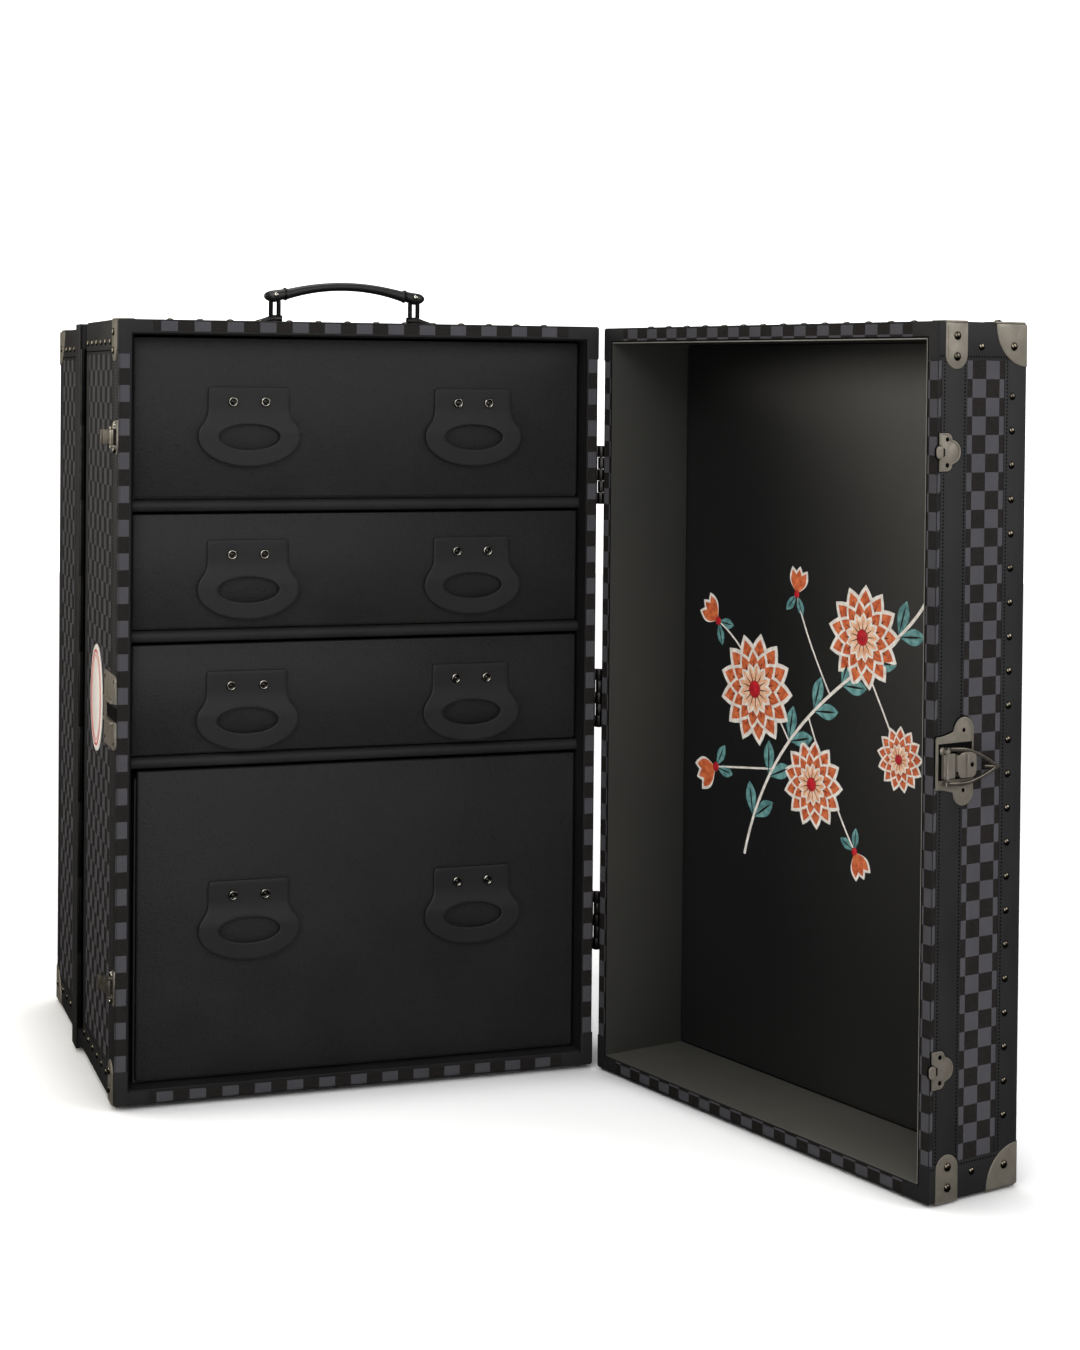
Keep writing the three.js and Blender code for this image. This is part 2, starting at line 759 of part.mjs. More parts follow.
// Bail of the clasp around its own pivot: a pointed loop that lies back along -Y, with an eye at each end.
function claspBail() {
  const half = bailHeight / 2;
  const inner = half - bailWire;
  const outline = new THREE.Shape();
  outline.moveTo(0, -half);
  outline.lineTo(bailStraight, -half);
  outline.quadraticCurveTo(bailLength / 2, -half, bailLength, 0);
  outline.quadraticCurveTo(bailLength / 2, half, bailStraight, half);
  outline.lineTo(0, half);
  outline.lineTo(0, inner);
  outline.lineTo(bailStraight, inner);
  outline.quadraticCurveTo(bailLength / 2, inner, bailLength - 2 * bailWire, 0);
  outline.quadraticCurveTo(bailLength / 2, -inner, bailStraight, -inner);
  outline.lineTo(0, -inner);
  const loop = onLeft(extrude(outline, bailWire, smallRoundSteps), [bailWire / 2, 0, 0]);
  const eyes = [barZ(bailEyeRadius, 0, 0, [inner, half]), barZ(bailEyeRadius, 0, 0, [-half, -inner])];
  const bore = [-half - cutOverrun, half + cutOverrun];
  return joined([loop, ...eyes], [barZ(latchPinRadius + runningGap, 0, 0, bore)]);
}

function bailPivot() {
  const pivot = new THREE.Group();
  const x = caseLeft - turnedGap - claspPivotHeight;
  pivot.position.set(x, doorRim - claspSetback - claspPivotSetback, doorMiddle);
  pivot.add(piece('clasp_bail', claspBail(), 'pewter'));
  return pivot;
}

// Rear door shell: back and four walls, open to the case.
function rearDoorShell() {
  const body = block([-rearSide, rearSide], [rearRim, rearBack], [doorBottom, rearTop]);
  const half = rearSide - rearWall;
  const hollow = block(
    [-half, half],
    [rearRim - cutOverrun, rearBack - rearBackWall],
    [doorBottom + rearWall, rearTop - rearWall]);
  return joined([body], [hollow]);
}

// Raised collar round the mouth of the rear door, grooved for the hinge's barrel.
function rearDoorCollar() {
  const body = block(
    [-collarSide, collarSide], [rearRim, rearRim + collarDepth], [doorBottom, collarTop]);
  const inside = block(
    [-rearSide, rearSide],
    [rearRim - cutOverrun, rearRim + collarDepth + cutOverrun],
    [doorBottom - cutOverrun, rearTop]);
  const groove = barZ(
    hingeBarrelRadius + collarGrooveClearance, rearHingeX, rearHingeY,
    [doorBottom - cutOverrun, collarTop + cutOverrun], roundSteps);
  return joined([body], [inside, groove]);
}

// Clothes rail with a flange at each end, between the side walls of the rear door.
function clothesRail() {
  const half = rearSide - rearWall;
  const y = rearRim + railFromRim;
  const z = rearTop - railBelowTop;
  return joined([
    barX(railRadius, [-half, half], y, z, roundSteps),
    barX(railFlangeRadius, [-half, -half + railFlangeThickness], y, z, roundSteps),
    barX(railFlangeRadius, [half - railFlangeThickness, half], y, z, roundSteps),
  ]);
}

// Base of the hasp on the collar's right side, with the pin of the hasp.
function haspBase() {
  const x = collarSide + haspPivotHeight;
  const y = rearRim + haspSetback;
  const half = haspWidth / 2 + runningGap;
  const reach = half + haspKnuckleRadius;
  const plate = block(
    [collarSide, collarSide + haspBaseThickness],
    [y - haspKnuckleRadius, y + haspWidth],
    [caseMiddle - reach, caseMiddle + reach]);
  const parts = [plate];
  for (const side of [-1, 1]) {
    const ends = [caseMiddle + side * half, caseMiddle + side * reach].sort((a, b) => a - b);
    parts.push(barZ(haspKnuckleRadius, x, y, ends));
    parts.push(block([collarSide, x], [y - haspKnuckleRadius, y + haspKnuckleRadius], ends));
  }
  parts.push(barZ(haspPinRadius, x, y, [caseMiddle - reach, caseMiddle + reach]));
  return joined(parts);
}

// Hasp around its own pivot, drawn lying forward along -Y, with a slot for the staple.
function haspStrap() {
  const stretch = [-haspWidth / 2, haspWidth / 2];
  const plate = [-haspThickness / 2, haspThickness / 2];
  const arm = block(plate, [-haspLength, 0], stretch);
  const slotFront = -haspLength + haspSlotFromEnd;
  const slot = block(
    [plate[0] - cutOverrun, plate[1] + cutOverrun],
    [slotFront, slotFront + haspSlotWidth],
    [-haspSlotLength / 2, haspSlotLength / 2]);
  const bore = [stretch[0] - cutOverrun, stretch[1] + cutOverrun];
  return joined(
    [barZ(haspKnuckleRadius, 0, 0, stretch), arm],
    [slot, barZ(haspPinRadius + runningGap, 0, 0, bore)]);
}

function haspPivot() {
  const pivot = new THREE.Group();
  pivot.position.set(collarSide + haspPivotHeight, rearRim + haspSetback, caseMiddle);
  pivot.rotation.z = THREE.MathUtils.degToRad(haspRestAngle);
  pivot.add(piece('rear_hasp', haspStrap(), 'pewter'));
  return pivot;
}

// Staple on the case's right side that stands up through the hasp's slot.
function rearStaple() {
  const slotMiddle = rearRim + haspSetback - haspLength + haspSlotFromEnd + haspSlotWidth / 2;
  const plate = block(
    [caseRight, caseRight + staplePlateThickness],
    [slotMiddle - staplePlateSize / 2, slotMiddle + staplePlateSize / 2],
    [caseMiddle - staplePlateSize / 2, caseMiddle + staplePlateSize / 2]);
  const post = block(
    [caseRight, caseRight + stapleRise],
    [slotMiddle - stapleThickness / 2, slotMiddle + stapleThickness / 2],
    [caseMiddle - stapleWidth / 2, caseMiddle + stapleWidth / 2]);
  const eye = barY(
    stapleEyeRadius, caseRight + stapleRise - stapleEyeFromTop,
    [slotMiddle - stapleThickness, slotMiddle + stapleThickness], caseMiddle);
  return joined([plate, post], [eye]);
}

// Base plate of the handle with a lug that is bored for the loop's bottom bar.
function handlePlate(side) {
  const x = side * handleSpan / 2;
  const z = caseTop + handlePivotHeight;
  const inner = x - side * loopWidth / 2;
  const outer = inner + side * handlePlateLength;
  const plate = block(
    [Math.min(inner, outer), Math.max(inner, outer)],
    [-handleSetback - handlePlateWidth / 2, -handleSetback + handlePlateWidth / 2],
    [caseTop, caseTop + handlePlateThickness]);
  const lugEnds = [x - handleLugWidth / 2, x + handleLugWidth / 2];
  const lug = barX(handleLugRadius, lugEnds, -handleSetback, z);
  const foot = block(
    lugEnds, [-handleSetback - handleLugRadius, -handleSetback + handleLugRadius], [caseTop, z]);
  const boreEnds = [lugEnds[0] - cutOverrun, lugEnds[1] + cutOverrun];
  const bore = barX(loopBar / Math.SQRT2 + runningGap, boreEnds, -handleSetback, z);
  return joined([plate, lug, foot], [bore]);
}

// Upright loop that links the handle's nose to its base plate.
function handleLoop(side) {
  const outer = roundedRectangle(loopWidth, loopHeight, loopBar);
  const hole = roundedRectangle(
    loopWidth - 2 * loopBar, loopHeight - 2 * loopBar, loopBar / 2);
  outer.holes.push(new THREE.Path(hole.getPoints(smallRoundSteps).reverse()));
  const loop = extrude(outer, loopBar, smallRoundSteps / 2);
  const middle = caseTop + handlePivotHeight + loopHeight / 2 - loopBar / 2;
  return onFront(loop, [side * handleSpan / 2, -handleSetback + loopBar / 2, middle]);
}

// Arched grip with a nose at each end. A nose is slotted for its loop and holds it with a pin.
function handleGrip() {
  const base = caseTop + handlePivotHeight;
  const end = handleSpan / 2 - gripInset;
  const arch = new THREE.QuadraticBezierCurve3(
    new THREE.Vector3(-end, -handleSetback, base + gripEndRise),
    new THREE.Vector3(0, -handleSetback, base + 2 * gripRise - gripEndRise),
    new THREE.Vector3(end, -handleSetback, base + gripEndRise));
  const section = new THREE.Shape();
  section.absellipse(0, 0, gripWidth / 2, gripThickness / 2, 0, Math.PI * 2);
  const parts = [new THREE.ExtrudeGeometry(
    section, { steps: gripSteps, curveSegments: smallRoundSteps, extrudePath: arch })];
  const cuts = [];
  const pins = [];
  const loopTop = base + loopHeight - loopBar;
  for (const side of [-1, 1]) {
    const x = side * handleSpan / 2;
    const nose = new THREE.SphereGeometry(1, smallRoundSteps, smallRoundSteps / 2);
    nose.rotateZ(Math.PI / 2);
    nose.scale(noseLength / 2, noseWidth / 2, noseHeight / 2);
    parts.push(nose.translate(x, -handleSetback, base + gripEndRise - loopBar));
    const slotHalf = loopBar / 2 + runningGap;
    cuts.push(block(
      [x - loopWidth / 2 - runningGap, x + loopWidth / 2 + runningGap],
      [-handleSetback - slotHalf, -handleSetback + slotHalf],
      [base, loopTop + loopBar / 2 + runningGap]));
    const pinZ = loopTop - loopBar / 2 - runningGap - nosePinRadius;
    pins.push(barY(
      nosePinRadius, x, [-handleSetback - noseWidth / 4, -handleSetback + noseWidth / 4], pinZ));
  }
  return joined([joined(parts, cuts), ...pins]);
}

function sidePlaque() {
  const outline = new THREE.Shape();
  outline.absellipse(0, 0, plaqueWidth / 2, plaqueHeight / 2, 0, Math.PI * 2);
  return onLeft(extrude(outline, plaqueThickness), [caseLeft, caseFront + plaqueSetback, caseMiddle]);
}

const hingeHeights = {
  top: doorMiddle + hingeSpacing,
  middle: doorMiddle,
  bottom: doorMiddle - hingeSpacing,
};

function buildCase() {
  const group = new THREE.Group();
  const places = drawerPlaces();
  group.add(piece('case_shell', caseShell(), 'leather'));
  group.add(piece('case_sole', soleBoard(), 'board'));
  for (let i = 0; i < places.length - 1; i += 1) {
    group.add(piece(`drawer_divider_${i + 1}`, divider(places[i].slotBottom), 'leather'));
  }
  for (const [name, height] of Object.entries(hingeHeights)) {
    group.add(piece(`hinge_leaf_case_${name}`, frontHingeLeaf(height, 1), 'darkMetal'));
  }
  group.add(piece('rear_hinge_leaf_case', rearHingeLeaf(1), 'darkMetal'));
  group.add(piece('rear_staple', rearStaple(), 'pewter'));
  group.add(piece('case_lock', caseLock(), 'pewter'));
  group.add(piece('latch_base_top', latchBase(caseTop - latchFromEnd), 'pewter'));
  group.add(piece('latch_base_bottom', latchBase(caseBottom + latchFromEnd), 'pewter'));
  group.add(piece('case_clamp_top', caseClamp(true), 'pewter'));
  group.add(piece('case_clamp_bottom', caseClamp(false), 'pewter'));
  group.add(piece('handle_plate_left', handlePlate(-1), 'darkMetal'));
  group.add(piece('handle_plate_right', handlePlate(1), 'darkMetal'));
  group.add(piece('side_plaque', sidePlaque(), 'enamel'));
  places.forEach((place, i) => group.add(drawer(i + 1, place)));
  return group;
}

function buildHandle() {
  const group = new THREE.Group();
  group.add(piece('handle_grip', handleGrip(), 'leather'));
  group.add(piece('handle_loop_left', handleLoop(-1), 'darkMetal'));
  group.add(piece('handle_loop_right', handleLoop(1), 'darkMetal'));
  return group;
}

// The front door is drawn shut and turned about its hinge axis to where it stands.
function buildFrontDoor() {
  const swing = new THREE.Group();
  const door = new THREE.Group();
  swing.position.set(hingeX, hingeY, 0);
  swing.rotation.z = THREE.MathUtils.degToRad(doorOpenAngle);
  door.position.set(-hingeX, -hingeY, 0);
  swing.add(door);
  door.add(piece('front_door_shell', frontDoorShell(), 'leather'));
  door.add(piece('front_door_lining', frontDoorLining(), 'panel'));
  door.add(piece('front_door_clasp', doorClasp(), 'pewter'));
  door.add(bailPivot());
  door.add(piece('front_door_keeper_top', doorKeeper(caseTop - latchFromEnd), 'pewter'));
  door.add(piece('front_door_keeper_bottom', doorKeeper(caseBottom + latchFromEnd), 'pewter'));
  door.add(piece('front_door_clamp_top', doorClamp(true), 'pewter'));
  door.add(piece('front_door_clamp_bottom', doorClamp(false), 'pewter'));
  door.add(piece('front_door_corner_left_top', doorCorner(true, true), 'pewter'));
  door.add(piece('front_door_corner_left_bottom', doorCorner(true, false), 'pewter'));
  door.add(piece('front_door_corner_right_top', doorCorner(false, true), 'pewter'));
  door.add(piece('front_door_corner_right_bottom', doorCorner(false, false), 'pewter'));
  for (const [name, height] of Object.entries(hingeHeights)) {
    door.add(piece(`hinge_leaf_door_${name}`, frontHingeLeaf(height, -1), 'darkMetal'));
  }
  return swing;
}

function buildRearDoor() {
  const group = new THREE.Group();
  group.add(piece('rear_door_shell', rearDoorShell(), 'leather'));
  group.add(piece('rear_door_collar', rearDoorCollar(), 'leather'));
  group.add(piece('clothes_rail', clothesRail(), 'darkMetal'));
  group.add(piece('rear_hinge_leaf_door', rearHingeLeaf(-1), 'darkMetal'));
  group.add(piece('rear_hasp_base', haspBase(), 'pewter'));
  group.add(haspPivot());
  return group;
}

const trunk = new THREE.Group();
trunk.add(buildCase());
trunk.add(buildHandle());
trunk.add(latchPivot('latch_lever_top', caseTop - latchFromEnd));
trunk.add(latchPivot('latch_lever_bottom', caseBottom + latchFromEnd));
trunk.add(buildFrontDoor());
trunk.add(buildRearDoor());

export default trunk;
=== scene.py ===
# The looks of a wardrobe trunk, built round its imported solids. Metres, in the part's own frame.
# Pieces of the front door are drawn with the door shut and then turned to where it stands.

import json
import math

import bmesh
import bpy
from mathutils import Matrix, Vector


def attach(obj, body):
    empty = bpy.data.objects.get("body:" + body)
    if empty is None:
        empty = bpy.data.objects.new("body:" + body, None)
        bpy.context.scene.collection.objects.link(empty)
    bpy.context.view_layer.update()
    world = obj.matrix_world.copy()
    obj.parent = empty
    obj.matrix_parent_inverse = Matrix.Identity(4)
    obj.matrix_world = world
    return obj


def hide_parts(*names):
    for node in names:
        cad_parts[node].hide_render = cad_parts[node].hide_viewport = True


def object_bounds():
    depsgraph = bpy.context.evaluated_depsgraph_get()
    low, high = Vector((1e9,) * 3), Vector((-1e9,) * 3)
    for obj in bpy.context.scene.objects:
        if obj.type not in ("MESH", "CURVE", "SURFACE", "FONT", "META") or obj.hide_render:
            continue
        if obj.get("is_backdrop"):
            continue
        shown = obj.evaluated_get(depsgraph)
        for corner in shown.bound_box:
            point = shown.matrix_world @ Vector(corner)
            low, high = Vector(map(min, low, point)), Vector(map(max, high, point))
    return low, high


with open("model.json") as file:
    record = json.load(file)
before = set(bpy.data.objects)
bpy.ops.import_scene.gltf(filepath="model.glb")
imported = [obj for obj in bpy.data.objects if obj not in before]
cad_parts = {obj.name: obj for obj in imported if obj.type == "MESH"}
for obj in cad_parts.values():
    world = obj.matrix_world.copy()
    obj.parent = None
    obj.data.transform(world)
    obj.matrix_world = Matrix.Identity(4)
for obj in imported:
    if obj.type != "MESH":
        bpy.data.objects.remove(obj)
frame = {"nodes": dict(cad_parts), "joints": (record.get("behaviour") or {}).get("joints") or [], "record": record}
cad_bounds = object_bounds()

# Checked canvas
CELL = 0.0205
COLUMN_START = 0.0097
ROW_START = -0.0236
CANVAS_THICKNESS = 0.0005
RIM_COVER = 0.00025
THREAD_PITCH = 0.0017

# Meshes, and how deep the relief of the materials is
SHARP_ANGLE = math.radians(35)
WELD_DISTANCE = 1e-6
RELIEF = {"weave": 0.0005, "felt": 0.0003, "panel": 0.0002, "brushing": 0.0002, "paint": 0.0001,
          "board": 0.0004}

# Walls and mouths of the shells
CASE_WALL = 0.017
CASE_EDGE = 0.0022
RIM_INSET = 0.0019
CASE_CELL_ENDS = (0.0128, 0.0128)
CASE_CELL_RISE = 0.0024
DOOR_CELL_ENDS = (0.0126, 0.0151)
DOOR_CELL_RISE = -0.0015
SHADE_STRIP_RISE = 0.0002
MOUTH_TRIM = 0.001
TRIM_RISE = 0.0014
LINING_THICKNESS = 0.0008
LINING_EDGE = 0.0003

# Leather bands, straps and patches
BAND_THICKNESS = 0.0014
BAND_EDGE = 0.0005
END_BAND = 0.0405
STRAP_START = 0.0045
STRAP_END = 0.0425
BINDING = 0.033
NARROW_BINDING = 0.020
PATCH_LEG = 0.041

# Stitches and nails
STITCH_INSET = 0.0038
STITCH_PITCH = 0.0041
STITCH_LENGTH = 0.0025
STITCH_WIDTH = 0.0022
STITCH_RISE = 0.0005
NAIL_PITCH = 0.038
NAIL_RADIUS = 0.0044
NAIL_RISE = 0.0025
NAIL_INSET = 0.0213
NAIL_START = 0.080
NAIL_DROP = 0.0255
RIVET_RADIUS = 0.0049
RIVET_RISE = 0.0028
RIVET_SPACING = 0.0227
RIVET_DROP = 0.0142

# Clamps and corner caps
CLAMP_WIDTH = 0.0325
CLAMP_LENGTH = 0.0505
CLAMP_FOLD = 0.020
CLAMP_THICKNESS = 0.0026
CLAMP_SETBACK = 0.0088
EMBOSS_INSET = 0.003
EMBOSS_RISE = 0.0004
CAP_RADIUS = 0.047
CAP_CORNER = 0.0025
CAP_THICKNESS = 0.0026
CAP_RIVET = (0.0225, 0.0207, 0.0248)
NAIL_PAST_CAP = CAP_RADIUS + NAIL_PITCH / 2

# Latches, keepers, clasp and lock on the left side
LATCH_HEIGHTS = {"top": 0.821, "bottom": 0.147}
LOBE_HEIGHT = 0.042
LOBE_WIDTH = 0.032
LOBE_RADIUS = 0.007
LOBE_SHOULDER = 0.012
LOBE_SETBACK = 0.002
LOBE_THICKNESS = 0.002
PLATE_RIM_WIDTH = 0.0022
PLATE_RIM_INSET = 0.0005
PLATE_RIM_RISE = 0.0007
# Near-black rings round the feet of plates: painted shadow
SHADOW_RING_WIDTH = 0.0009
SHADOW_RING_RISE = 0.0017
SCREW_RADIUS = 0.0027
SCREW_RISE = 0.0007
HOOK_START = -0.006
HOOK_HEAD = (0.010, 0.014)
HOOK_NECK = (0.004, 0.009)
HOOK_CORNER = 0.0045
HOOK_EDGE = 0.001
HOOK_THICKNESS = 0.002
HOOK_RISE = 0.0062
MIDDLE_HEIGHT = 0.484
FITTING_SETBACK = 0.001
CLASP_WIDTH = 0.056
CLASP_HEIGHT = 0.096
CLASP_LOBE = 0.015
CLASP_RIM_HEIGHT = 0.056
CLASP_THICKNESS = 0.0025
CLASP_PIVOT = 0.012
CLASP_BLOCK_WIDTH = 0.027
CLASP_BLOCK_HEIGHT = 0.028
CLASP_BLOCK_RISE = 0.0095
CLASP_BLOCK_SETBACK = 0.0275
CLASP_WINDOW = (0.0034, 0.0545)
WINDOW_HALF = 0.020
WINDOW_RISE = 0.0004
TONGUE_START = 0.0090
TONGUE_SIZE = (0.0165, 0.027)
TONGUE_RISE = 0.005
EYE_START = 0.0105
EYE_RADIUS = 0.0045
EYE_RISE = 0.0026
BAIL_LENGTH = 0.080
BAIL_HEIGHT = 0.042
MECHANISM_DROP = 0.0045
BAIL_STRAIGHT = 0.020
BAIL_WIRE = 0.0042
BAIL_EYE = 0.0034
BAIL_RISE = 0.0075
BAIL_TILT = math.radians(-4)
LOCK_SCREW_INSET = 0.008
LOCK_SCREW_RISE = 0.003
LOCK_SLOT_RISE = 0.034
LOCK_SLOT_HEIGHT = 0.018
PLAQUE_RINGS = ((0.007, 0.0026), (0.014, 0.0012))
RING_RISE = 0.0003
RING_EDGE = 0.0001

# Pulls on the drawers
PULL_WIDTH = 0.129
PULL_TOP_WIDTH = 0.103
PULL_HEIGHT = 0.099
PULL_FLAT = 0.028
PULL_BEND = 0.030
PULL_BOW = 0.005
PULL_THICKNESS = 0.0035
PULL_EDGE = 0.0012
PULL_CORNER = 0.005
PULL_HOLE_WIDTH = 0.077
PULL_HOLE_HEIGHT = 0.032
PULL_HOLE_DROP = 0.062
PULL_RINGS = 10
PULL_RIVET_SPACING = 0.041
PULL_RIVET_DROP = 0.0185
PULL_RIVET_RADIUS = 0.0062
PULL_RIVET_RISE = 0.0034
RIVET_HEART = 0.0036

# Handle
GRIP_APEX = 1.0144
GRIP_SAG = 0.0108
GRIP_HALF_WIDTH = 0.0095
GRIP_HALF_THICKNESS = 0.0055
GRIP_DIP = 0.001
COLLAR_X = 0.080
COLLAR_GAP = 0.0004
COLLAR_HALF_HEIGHT = 0.0068
COLLAR_RADIUS = 0.0014
NOSE_X = 0.093
NOSE_END = 0.107
NOSE_Z = 1.0005
NOSE_HALF_HEIGHT = 0.0078
NOSE_GAP = 0.0002
LOOP_X = 0.093
LOOP_RADIUS = 0.0029
PIN_RADIUS = 0.0034
PIN_RISE = 0.0016
PIN_LIFT = 0.0015
HANDLE_Y = -0.020

# Feet of the handle. A section is given by how far along it is, how far down, and its half height
FOOT_START = 0.084
FOOT_Z = 0.9715
FOOT_HALF_WIDTH = 0.0055
FOOT_SECTIONS = ((0, 0, 0.0046), (0.012, 0, 0.0050), (0.022, 0.0025, 0.0038), (0.036, 0.005, 0.0016))

# Picture on the lining panel: one spray of flowers in a generic design, placed from the left and the floor.
# A blossom has a place and a radius, a bud also its turn in degrees, and a twig where it leaves the stem
# and the bend on its way to a flower
PICTURE_RISE = 0.0003
STEM_POINTS = ((0.130, 0.292), (0.165, 0.420), (0.250, 0.520), (0.400, 0.560), (0.458, 0.640))
STEM_RADIUS = 0.0022
STEM_FLATNESS = 0.25
TWIG_RADIUS = STEM_RADIUS * 0.6
LEAF_LENGTH = 0.046
LEAF_SPREAD = math.radians(34)
PETALS = 13
BLOSSOMS = ((0.150, 0.505, 0.072), (0.262, 0.400, 0.056), (0.352, 0.590, 0.064), (0.418, 0.452, 0.040))
BUDS = (
    (0.072, 0.585, 0.020, 140),
    (0.228, 0.632, 0.018, 80),
    (0.070, 0.395, 0.022, 205),
    (0.340, 0.330, 0.018, 300),
)
TWIGS = (
    (10, (0.110, 0.400), BUDS[2]),
    (14, (0.130, 0.560), BUDS[0]),
    (22, (0.240, 0.590), BUDS[1]),
    (18, (0.300, 0.380), BUDS[3]),
    (28, (0.380, 0.520), BLOSSOMS[3]),
)

# Photograph and camera
PHOTO_HEIGHT = 1350
SENSOR = 36.0
FOCAL_PIXELS = 2369.5
CENTRE_ROW = 425.2
CAMERA_PLACE = (-0.7659, -3.0203, 0.8939)
CAMERA_YAW = math.radians(19.05)
CAMERA_PITCH = math.radians(-1.06)
CAMERA_ROLL = math.radians(0.53)
CLIP_START = 0.05

# Stage: the caps stand on its floor. Its own glow, painted light, near the trunk and far from it
STAGE_LEVEL = -0.0034
STAGE_RADIUS = 8.0
STAGE_HEIGHT = 9.0
STAGE_STEPS = 64
GLOW_START = 0.9
GLOW_END = 5.0
GLOW_NEAR = 0.42
GLOW_FAR = 0.95
CONTACT_REACH = 0.13

# Sky: dim at the horizon and bright overhead
SKY_RANGE = {"From Min": 0.0, "From Max": 0.9, "To Min": 0.25, "To Max": 1.5}

# Lamps: place, the point that each faces, size, power and colour
TRUNK_MIDDLE = (0.1, -0.1, 0.5)
NEUTRAL = (1, 1, 1)
WARM = (1.0, 0.95, 0.84)
LAMPS = {
    "key_light": ((-1.9, -3.7, 3.4), TRUNK_MIDDLE, 2.4, 100, NEUTRAL),
    "fill_light": ((3.0, -2.6, 2.2), TRUNK_MIDDLE, 2.4, 60, NEUTRAL),
    "top_light": ((0.0, 0.4, 4.2), TRUNK_MIDDLE, 3.0, 80, NEUTRAL),
    "rear_light": ((-1.98, 0.9, 1.2), (0.6, -0.6, 0.7), 1.6, 28, WARM),
    "front_light": ((-0.2, -4.6, 1.5), TRUNK_MIDDLE, 3.0, 70, NEUTRAL),
}

# Leathers: slot, colour, worn colour, size and depth of the grain, roughness and specular level
LEATHERS = {
    "band_leather": ("leather", (31, 31, 32), (37, 37, 38), 0.0011, 0.0003, 0.5, 0.13),
    "shell_leather": ("leather", (24, 24, 25), (30, 30, 31), 0.0011, 0.0003, 0.5, 0.13),
    "drawer_leather": ("drawer_leather", (29, 29, 29), (33, 33, 33), 0.0024, 0.0009, 0.5, 0.16),
    "pull_leather": ("leather", (27, 27, 28), (31, 31, 32), 0.0016, 0.0004, 0.48, 0.2),
    "grip_leather": ("leather", (16, 16, 16), (26, 25, 24), 0.0012, 0.0001, 0.34, 0.4),
    # Near-black leather that stands in for shade: painted shade in gaps, slots and crevices.
    "painted_shade_leather": ("leather", (7, 7, 7), (12, 12, 12), 0.0011, 0.0002, 0.8, 0.05),
}
# Linings and paints: slot, two colours and roughness
LININGS = {
    "lining": ("lining", (39, 39, 37), (45, 44, 41), 0.62),
    # The floor's lining is the same lining made paler: painted light from above.
    "painted_lit_floor_lining": ("lining", (76, 75, 70), (84, 83, 77), 0.62),
    "tray_lining": ("lining", (40, 40, 38), (47, 46, 43), 0.7),
    # The pale trim is partly a real trim and partly a painted highlight along the lit edge of the mouth.
    "pale_trim_and_highlight": ("lining", (112, 110, 104), (126, 123, 116), 0.5),
}
PAINTS = {
    "enamel": ("enamel", (226, 222, 214), (216, 212, 204), 0.25),
    "red_enamel": ("enamel", (196, 40, 44), (178, 32, 38), 0.3),
    "orange_ink": ("panel", (214, 116, 70), (170, 72, 40), 0.4),
    "pale_ink": ("panel", (236, 200, 170), (214, 150, 110), 0.4),
    "white_ink": ("panel", (232, 226, 216), (206, 198, 188), 0.4),
    "teal_ink": ("panel", (112, 160, 156), (70, 112, 112), 0.4),
    "red_ink": ("panel", (196, 34, 42), (150, 26, 36), 0.4),
    "black_ink": ("panel", (22, 18, 18), (36, 28, 26), 0.4),
}
# Metals: slot, colour, dull colour, roughness and how metallic
METALS = {
    "pewter": ("pewter", (126, 120, 110), (94, 89, 81), 0.28, 0.85),
    "pale_pewter": ("pewter", (130, 124, 113), (114, 108, 98), 0.4, 0.55),
    "dark_metal": ("dark_metal", (60, 58, 56), (40, 39, 38), 0.28, 1.0),
    "nail_bronze": ("pewter", (118, 111, 96), (62, 57, 50), 0.2, 1.0),
    "rivet_nickel": ("pewter", (176, 172, 162), (130, 126, 118), 0.1, 1.0),
    "screw_metal": ("dark_metal", (16, 15, 15), (8, 8, 8), 0.4, 1.0),
    # Black metal is the real colour of the rear hinge and the handle loops, and painted shade in the clasp's
    # opening and under the keeper's hook.
    "black_metal_and_shade": ("dark_metal", (30, 30, 30), (20, 20, 20), 0.5, 1.0),
}

# Looks and rounded edges of the part's own solids
SLOT_LOOKS = {"checked_canvas": "shell_leather", "leather": "band_leather", "lining": "tray_lining"}
NODE_LOOKS = {"rear_hinge_leaf_case": "black_metal_and_shade", "rear_hinge_leaf_door": "black_metal_and_shade",
              "front_door_clasp": "pale_pewter", "case_lock": "pale_pewter"}
SLOT_EDGES = {"checked_canvas": CASE_EDGE, "drawer_leather": 0.0025, "pewter": 0.0004, "dark_metal": 0.0003,
              "enamel": 0.0006, "panel": 0.0004}
NODE_EDGES = {"rear_door_collar": 0.006}
SMOOTH_ANGLE = math.radians(32)
BEVEL_ANGLE = math.radians(40)
BEVEL_SEGMENTS = 3

UNMOVED = Matrix.Identity(4)


def joint(name):
    """The joint of that name, as the record has it."""
    return next(j for j in frame["joints"] if j["name"] == name)


def turn_about(point, axis, angle):
    """A turn about a line through a point."""
    place = Matrix.Translation(Vector(point))
    return place @ Matrix.Rotation(angle, 4, Vector(axis)) @ place.inverted()


DOOR_JOINT = joint("front_door_swing")
DOOR_ANGLE = -math.radians(DOOR_JOINT["range_deg"][0])
DOOR_OPEN = turn_about(DOOR_JOINT["pos_m"], DOOR_JOINT["axis"], DOOR_ANGLE)
DOOR_SHUT = DOOR_OPEN.inverted()


def box_of(node, place=UNMOVED):
    """A node's lowest and highest corners after a move."""
    points = [place @ v.co for v in frame["nodes"][node].data.vertices]
    low = Vector([min(p[i] for p in points) for i in range(3)])
    high = Vector([max(p[i] for p in points) for i in range(3)])
    return low, high


# Node graphs

